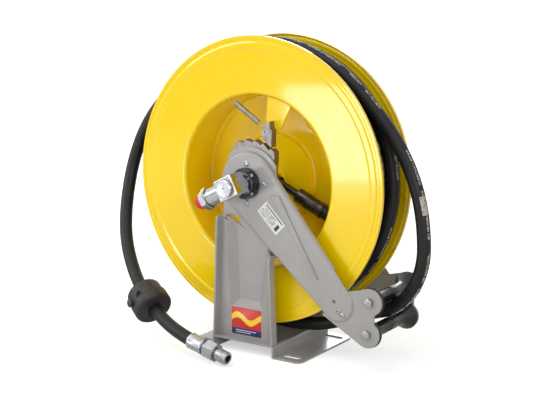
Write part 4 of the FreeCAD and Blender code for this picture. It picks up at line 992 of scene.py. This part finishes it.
stop_tools = []
for shift, size in (((0, 33.5, 0), (SLIT, 12, 60)), ((0, -33.5, 0), (SLIT, 12, 60)),
                    ((0, 0, 24.5), (SLIT, 80, 12)), ((0, 0, -24.5), (SLIT, 80, 12))):
    slit = bmesh.new()
    bmesh.ops.create_cube(slit, size=1.0, matrix=Matrix.Translation(Vector(shift) * MM) @
                          Matrix.Diagonal((*(Vector(size) * MM), 1.0)))
    stop_tools.append(cutter(slit, "slit_tool"))
for side in (-1, 1):
    pocket = bmesh.new()
    sideways = Matrix.Translation(Vector((0, 19.5 * side, 0)) * MM) @ Matrix.Rotation(math.pi / 2, 4, "Y")
    turned_rings(pocket, [(0, 40), (5.6, 40), (5.6, 21), (5.0, 20), (0, 20)], 32, sideways)
    stop_tools.append(cutter(pocket, "pocket_tool"))
cut_with(stop, stop_tools)
finish_piece(stop, cast_rubber, "frame", ["hose_stop"], sharp_angle=30)
print("stop faces", len(stop.data.polygons))

# %% [markdown]
# ## Screws
# Every head on the front carries a hexagon socket and a rounded shoulder, and no two are turned the same
# way, because a fitter never lines them up. One builder makes a set of them as a single piece: shank,
# domed head, and a real socket with a shallow cone for its floor.

# %% Screw builder
fitter = random.Random(27)


def button_screw(shape, place, outward, reach, head, rise, socket, shank):
    """A button-head screw in millimetres: its seat is at the place and its head points outward."""
    profile = [(0, -reach), (shank * 0.8, -reach), (shank, -reach + shank * 0.3), (shank, 0), (head, 0),
               (head, rise * 0.25), (head * 0.93, rise * 0.62), (head * 0.76, rise * 0.9),
               (head * 0.6, rise), (socket * 1.1, rise), (socket, rise - 0.15, "hex"),
               (socket, rise * 0.2, "hex"), (0, rise * 0.1)]
    turned = Matrix.Rotation(fitter.uniform(0, math.tau), 4, "Z")
    turned_rings(shape, profile, 36, axis_frame(from_axle(*place), outward) @ turned)


def screw_set(name, body, node, places, outward, reach, sizes):
    """Several screws of one size as a single piece. Outward is 1 or -1 along Y."""
    shape = bmesh.new()
    for place in places:
        button_screw(shape, place, (0, outward, 0), reach, **sizes)
    finish_piece(piece_from_bmesh(name, shape), zinc, body, [node])


def around_axle(radius, angles, y):
    """Places on a circle round the axle, from angles in degrees."""
    return [(radius * math.cos(math.radians(angle)), y, radius * math.sin(math.radians(angle)))
            for angle in angles]


print("screws can be made")

# %% [markdown]
# The sizes of each kind of screw are kept together under one name. The same kinds sit on the front and on
# the rear, so a loop over both sides places them.

# %% Screws in their places
HUB_SCREW = {"head": 5, "rise": 2, "socket": 2.3, "shank": 3}
BEARING_SCREW = {"head": 2.8, "rise": 1.6, "socket": 1.3, "shank": 1.0}
CASE_SCREW = {"head": 4, "rise": 1.1, "socket": 1.8, "shank": 1.5}
ARM_SCREW = {"head": 3.9, "rise": 2, "socket": 1.8, "shank": 2}
HUB_ANGLES = (0, 90, 180, 270)
BEARING_ANGLES = (45, 135, 225, 315)
ARM_SCREW_PLACES = ((170.0, -181.5), (176.5, -187.5))
SIDES = (("front", -1), ("rear", 1))

for (side, outward), reach in zip(SIDES, (22, 11)):
    screw_set(side + "_socket_screws", "frame", side + "_hub_screws",
              around_axle(32, HUB_ANGLES, 70 * outward), outward, reach, sizes=HUB_SCREW)
for side, outward in SIDES:
    screw_set(side + "_small_screws", "frame", side + "_bearing_screws",
              around_axle(20.5, BEARING_ANGLES, 76 * outward), outward, reach=0.6, sizes=BEARING_SCREW)
screw_set("case_button_screws", "drum", "case_cover_screws",
          around_axle(122, range(30, 390, 60), 46.3), outward=1, reach=0.6, sizes=CASE_SCREW)
for side, outward in SIDES:
    screw_set(side + "_arm_screws", "frame", side + "_arm_bolts",
              [(x, 70 * outward, z) for x, z in ARM_SCREW_PLACES], outward, reach=6, sizes=ARM_SCREW)
print("screws made")

# %% [markdown]
# ## Hexagon bolts
# The roller axles are long bolts. A forged head has its corners turned off at 30 degrees, so each flat
# ends in a curve, and the nut shows a little thread beyond it. The same hexagon rings make both.

# %% Roller axles and stop screws
BOLT_HALF_ACROSS = 6.5
BRACKET_FACE = 67
BOLT_END = 72.3
ROLLER_PLACES = {"upper": (220.5, -161.5), "lower": (217.0, -212.0)}


def hex_prism(low, high, half_across):
    """Profile of a chamfered hexagon between two heights."""
    return [(0.0, low), (half_across * 0.93, low), (half_across, low + 0.5, "hex"),
            (half_across, high - 0.7, "hex"), (half_across * 0.93, high), (0.0, high)]


for which, (x, z) in ROLLER_PLACES.items():
    axle = bmesh.new()
    along_y = axis_frame(from_axle(x, 0, z), (0, 1, 0))
    turn = Matrix.Rotation(fitter.uniform(0, math.tau), 4, "Z")
    turned_rings(axle, hex_prism(-BOLT_END, -BRACKET_FACE, BOLT_HALF_ACROSS), 48, along_y @ turn)
    turned_rings(axle, [(0, -BRACKET_FACE), (5, -BRACKET_FACE), (5, BRACKET_FACE), (0, BRACKET_FACE)],
                 32, along_y)
    turned_rings(axle, hex_prism(BRACKET_FACE, BOLT_END, BOLT_HALF_ACROSS), 48, along_y)
    turned_rings(axle, [(0, 72.2), (4.6, 72.2), (5, 72.6), (4.5, 73.1), (5, 73.6), (4.3, 74.3), (0, 74.3)],
                 32, along_y)
    finish_piece(piece_from_bmesh(which + "_axle_bolt", axle), zinc, "frame", [which + "_roller_axle"],
                 sharp_angle=30)

stop_screws = bmesh.new()
sidewise = axis_frame(stop_place, stop_side)
turned_rings(stop_screws, [(0, 30), (5.2, 30), (5.4, 32), (5.2, 32.6), (0, 32.6)], 40, sidewise)
turned_rings(stop_screws, hex_prism(32.6, 37.0, 6.4), 48, sidewise)
stop_screw = piece_from_bmesh("stop_clamp_screw", stop_screws)
finish_piece(stop_screw, dark_steel, "frame", ["hose_stop_bolt"], sharp_angle=30)
print("bolts made")

# %% [markdown]
# The pin of the pawl has a round head with a small hexagon socket. The inlet pipe carries a hexagon for
# a spanner behind its cap. Both are turned pieces with hexagon rings in their profile.

# %% Pawl pin and inlet hexagon
INLET_ANGLE = math.radians(27)
inlet_heading = Vector((-math.cos(INLET_ANGLE), 0, -math.sin(INLET_ANGLE)))
pin = turned_piece(
    "pawl_pin", [(0, -23.5), (4.6, -23.5), (5, -23), (5, -0.9), (4.7, -1.6), (3.9, -1.6), (3.8, -0.2),
                 (3.4, 0), (2.0, 0), (1.9, -0.2, "hex"), (1.9, -2.2, "hex"), (0, -2.4)],
    from_axle(27.2, -58, 82.9), (0, -1, 0), 36)
finish_piece(pin, zinc, "drum", ["pawl_pivot_pin"], sharp_angle=30)
inlet_nut = turned_piece(
    "inlet_hexagon", [(15.45, 47), (15.9, 47), (16.1, 47.4, "hex"), (16.1, 55.2, "hex"), (15.9, 55.6),
                      (15.45, 55.6)], from_axle(0, -111.5, 0), inlet_heading, 48)
finish_piece(inlet_nut, polished_block, "swivel", (), sharp_angle=30)
print("pin and hexagon made")

# %% [markdown]
# ## Rollers
# Two hourglass rollers guide the hose at any angle. Each was moulded in one piece: a straight waist that
# swells in a smooth curve to a rounded rim, a small flash ring where the mould halves met, and a
# recessed end with a hub around the bore. A turned profile holds all of it.

# %% Hourglass rollers
roller_half = [(10.5, 0.0), (10.5, 30.0), (10.7, 34.0)]
for step in range(1, 11):
    swell = step / 10
    roller_half.append((10.5 + 10.9 * swell ** 1.45, 34.0 + 24.0 * swell))
roller_half += [(21.85, 59.2), (22.0, 60.2), (21.7, 61.3), (20.9, 62.0), (19.2, 62.0), (18.2, 60.6),
                (9.6, 58.8), (8.8, 61.6), (5.05, 61.8)]
lower_half = [(radius, -height) for radius, height in reversed(roller_half[1:])]
seam = [(10.5, -0.5), (10.65, -0.2), (10.65, 0.2), (10.5, 0.5)]
roller_profile = lower_half + seam + roller_half[1:] + [(5.05, -61.8)]
for which, (x, z) in ROLLER_PLACES.items():
    roller = turned_piece(which + "_hourglass_roller", roller_profile, from_axle(x, 0, z), (0, 1, 0), 72)
    finish_piece(roller, black_plastic, which + "_roller", [which + "_roller"])
print("roller points", len(roller_profile))

# %% [markdown]
# ## The swivel plug
# A knurled plug closes the front of the swivel. Its rim has fine ridges for the fingers, and its face was
# turned on a lathe, with a chamfer and a small centre mark. The ridges are real shape: every second
# point of the rim is pushed in.

# %% Knurled plug
KNURLS = 60
KNURL_DEPTH = 0.965
plug_shape = bmesh.new()
turned_rings(plug_shape, [(0, -6), (13.4, -6), (14.4, -5.3), (14.4, -0.9), (13.5, 0.0), (11.2, 0.0),
                          (10.9, -0.35), (2.2, -0.5), (1.6, -0.9), (0, -1.6)], KNURLS * 2)
for vertex in plug_shape.verts:
    if vertex.co.xy.length > 14.2 * MM and vertex.index % 2 == 0:
        vertex.co.xy *= KNURL_DEPTH
plug = piece_from_bmesh("knurled_plug", plug_shape, axis_frame(from_axle(0, -134, 0), (0, -1, 0)))
finish_piece(plug, turned_metal, "swivel", ["swivel_plug"], sharp_angle=25)
print("plug points", len(plug.data.vertices))

# %% [markdown]
# ## Labels
# Two labels are on the front. One is a painted plate low on the upright, the other a data plate on
# the arm. Both are thin plates with rounded corners and a printed face made of plain fields and bars
# in the shader, so nothing on them can be read as a word or a mark.

# %% Label helpers


def label_plate(name, width, height, thick, corner, place, heading, material):
    """A thin rounded plate that faces -Y, with a UV map from 0 to 1 on its face."""
    shape = bmesh.new()
    label_map = shape.loops.layers.uv.new("label")
    outline = []
    for right, upper, start in ((1, 1, 0), (-1, 1, 90), (-1, -1, 180), (1, -1, 270)):
        for step in range(7):
            angle = math.radians(start + 15 * step)
            outline.append((right * (width / 2 - corner) + corner * math.cos(angle),
                            upper * (height / 2 - corner) + corner * math.sin(angle)))
    rows = []
    for shrink, y in ((0.0, 0.0), (0.0, -thick * 0.6), (0.25, -thick)):
        narrower = 1 - shrink / width * 2
        shorter = 1 - shrink / height * 2
        rows.append([shape.verts.new(Vector((x * narrower, y, z * shorter)) * MM) for x, z in outline])
    for back, front in zip(rows, rows[1:]):
        bridge(shape, back, front)
    shape.faces.new(rows[0])
    shape.faces.new(rows[-1])
    for face in shape.faces:
        for loop in face.loops:
            loop[label_map].uv = (loop.vert.co.x / MM / width + 0.5, loop.vert.co.z / MM / height + 0.5)
    turned = Matrix.Translation(place) @ Matrix.Rotation(-math.radians(heading), 4, "Y")
    return finish_piece(piece_from_bmesh(name, shape, turned), material, "frame", ())


def inside_box(tree, across, up, left, right, low, high):
    """A mask that is 1 inside a rectangle of the label's face."""
    return multiply(tree, near(tree, across, (left + right) / 2, (right - left) / 2),
                    near(tree, up, (low + high) / 2, (high - low) / 2))


def label_place(tree):
    """Across and up on the label's face."""
    label_map = add_node(tree, "ShaderNodeUVMap", uv_map="label").outputs["UV"]
    face = add_node(tree, "ShaderNodeSeparateXYZ", {0: label_map}).outputs
    return face["X"], face["Y"]


print("labels can be made")

# %% [markdown]
# The painted plate has a red field, a yellow wave and a dark blue band. The wave is the sine of the
# distance across, compared with the height on the plate.

# %% Painted plate
WAVES = 7.5
WAVE_HEIGHT = 0.13
WAVE_MIDDLE = 0.60
WAVE_THICKNESS = 0.11
BAND_TOP = 0.24

decal_paint, tree, shader = new_material("painted_plate", Coat_Weight=0.3, Coat_Roughness=0.15)
across, up = label_place(tree)
wave = multiply(tree, calculate(tree, "SINE", multiply(tree, across, WAVES)), WAVE_HEIGHT)
in_wave = near(tree, up, calculate(tree, "ADD", wave, WAVE_MIDDLE), WAVE_THICKNESS)
plate_colour = mix_colours(tree, in_wave, (206, 38, 28), (250, 205, 30))
in_band = inside_box(tree, across, up, 0.0, 1.0, 0.0, BAND_TOP)
plate_colour = mix_colours(tree, in_band, plate_colour, (30, 42, 110))
for low, high, right in ((0.15, 0.18, 0.82), (0.08, 0.105, 0.64)):
    bar = inside_box(tree, across, up, 0.14, right, low, high)
    plate_colour = mix_colours(tree, bar, plate_colour, (225, 225, 222))
film = add_grain(tree, grain_size=700.0, smudge_size=60.0)
finish_surface(tree, shader, plate_colour, between(tree, film["Smudge"], 0.25, 0.42), film["Height"],
               depth=0.00001)
decal = label_plate("painted_label", width=58, height=45, thick=0.5, corner=2.0,
                    place=from_axle(1, -72.9, -225.5), heading=0, material=decal_paint)
print("painted label at", tuple(decal.location))

# %% [markdown]
# The data plate is white vinyl with a dark head line and rows of short bars in place of its text.

# %% Data plate
ROWS = 11.0
ROW_SHARE = 0.42
COLUMNS = 26.0
EMPTY_BARS = 0.42

data_print, tree, shader = new_material("data_plate", Specular_IOR_Level=0.4)
across, up = label_place(tree)
rows = multiply(tree, up, ROWS)
in_row = calculate(tree, "LESS_THAN", calculate(tree, "FRACT", rows), ROW_SHARE)
bars = random_cells(tree, multiply(tree, across, COLUMNS), rows, seed=4.0)
ink = multiply(tree, calculate(tree, "GREATER_THAN", bars, EMPTY_BARS), in_row,
               inside_box(tree, across, up, 0.08, 0.72, 0.12, 0.74))
for left, right, low, high in ((0.08, 0.92, 0.82, 0.90), (0.80, 0.92, 0.16, 0.60)):
    ink = calculate(tree, "MAXIMUM", ink, inside_box(tree, across, up, left, right, low, high))
vinyl = mix_colours(tree, ink, (232, 232, 228), (72, 72, 76))
film = add_grain(tree, grain_size=800.0, smudge_size=70.0)
finish_surface(tree, shader, vinyl, between(tree, film["Smudge"], 0.32, 0.5), film["Height"],
               depth=0.00001)
data_label = label_plate("data_label", width=49.5, height=24.8, thick=0.25, corner=1.5,
                         place=from_axle(46.5, -70, -51), heading=-45, material=data_print)
print("data label at", tuple(data_label.location))

# %% [markdown]
# ## Finishes for the CAD parts
# The remaining parts keep their CAD shape and only change their material. Most take the finish that the
# model names for them. A few differ: the swivel block is polished, and the ratchet and pawl are cast.

# %% Materials on CAD parts
FINISHES = {"yellow_paint": yellow_paint, "grey_paint": grey_paint, "zinc_steel": zinc,
            "spring_steel": spring_steel, "black_plastic": black_plastic, "red_plastic": red_plastic,
            "black_rubber": cast_rubber}
SPECIAL = {"swivel_body": polished_block, "ratchet_sector": cast_steel, "pawl": cast_steel,
           "hub_shaft": turned_metal, "shaft_circlip": spring_steel, "feed_pipe": dark_steel}
for name, part in nodes.items():
    for material_slot in part.material_slots:
        planned = material_slot.material.name.split(".")[0]
        material_slot.material = SPECIAL.get(name, FINISHES[planned])
print("CAD parts dressed", len(nodes))

# %% [markdown]
# ## Floor and light
# The photograph is a studio picture on white: soft lights on both sides, above and behind, and a white
# room that keeps the shadows open. The floor is a very large pale plane. Seen by the camera it glows a
# little more with distance, so it melts into the background, and near the reel it still shows the soft
# shadow.

# %% Floor
GLOW_DISTANCES = (0.35, 2.5)
GLOW_STRENGTHS = (0.50, 0.80)

floor_material, tree, shader = new_material("pale_floor", Specular_IOR_Level=0.0)
position = add_node(tree, "ShaderNodeNewGeometry").outputs["Position"]
distance = add_node(tree, "ShaderNodeVectorMath", {0: position}, operation="LENGTH").outputs["Value"]
glow = shift_range(tree, distance, *GLOW_DISTANCES, *GLOW_STRENGTHS)
seen = add_node(tree, "ShaderNodeLightPath").outputs["Is Camera Ray"]
fibres = noise(tree, position, 3.0)
pale = mix_colours(tree, fibres, (238, 238, 238), (242, 242, 241))
finish_surface(tree, shader, pale, between(tree, fibres, 0.85, 0.95), fibres, depth=0.00001)
shader.inputs["Emission Color"].default_value = (1.0, 1.0, 1.0, 1.0)
tree.links.new(multiply(tree, seen, glow), shader.inputs["Emission Strength"])

floor_shape = bmesh.new()
bmesh.ops.create_grid(floor_shape, x_segments=8, y_segments=8, size=35.0)
floor = piece_from_bmesh("floor", floor_shape)
floor.data.materials.append(floor_material)
bpy.context.scene.collection.objects.link(floor)
floor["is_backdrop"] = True
print("floor laid")

# %% [markdown]
# The world gives even white light. Rays that the camera sees directly, or in a mirror, find pure white,
# and the light on matt surfaces is less than half of that, so the softboxes still shape the drum.

# %% World
WORLD_LIGHT = 0.42

world = bpy.data.worlds.new("white room")
bpy.context.scene.world = world
world.use_nodes = True
tree = world.node_tree
background = tree.nodes["Background"]
background.inputs["Color"].default_value = (1.0, 1.0, 1.0, 1.0)
path = add_node(tree, "ShaderNodeLightPath").outputs
direct = path["Is Camera Ray"]
for mirrored in ("Is Glossy Ray", "Is Transmission Ray"):
    direct = calculate(tree, "MAXIMUM", direct, path[mirrored])
tree.links.new(between(tree, direct, WORLD_LIGHT, 1.0), background.inputs["Strength"])
bpy.context.scene.view_settings.view_transform = "Standard"
print("world set")

# %% [markdown]
# Softboxes are area lights. A small one is placed where the glossy paint of the front disc mirrors it
# towards the camera, which gives the bright patch of the photograph.

# %% Softboxes
REEL_MIDDLE = (0, 0, 0.27)


def softbox(name, place, target, width, height, radiance):
    """An area light whose face has the given radiance, so its size can change on its own."""
    light = bpy.data.lights.new(name, "AREA")
    light.shape = "RECTANGLE"
    light.size = width
    light.size_y = height
    light.energy = radiance * math.pi * width * height
    lamp = bpy.data.objects.new(name, light)
    bpy.context.scene.collection.objects.link(lamp)
    facing = (Vector(target) - Vector(place)).to_track_quat("-Z", "Y").to_matrix().to_4x4()
    lamp.matrix_world = Matrix.Translation(Vector(place)) @ facing


softbox("disc_glow_light", (-0.655, -1.47, 0.15), (0, 0, 0.25), width=0.37, height=0.28, radiance=8.0)
softbox("left_light", (-1.90, -1.50, 1.30), REEL_MIDDLE, width=1.2, height=1.0, radiance=4.8)
softbox("top_light", (-0.30, -0.90, 2.20), REEL_MIDDLE, width=1.6, height=1.2, radiance=2.0)
softbox("right_light", (1.90, -1.50, 0.85), REEL_MIDDLE, width=1.0, height=1.0, radiance=4.0)
softbox("back_light", (-0.80, 2.30, 1.20), REEL_MIDDLE, width=1.3, height=1.0, radiance=4.5)
print("lights set")

# %% [markdown]
# ## The size
# The bounds of the finished scene are measured over every shown piece except the floor.

low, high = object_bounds()
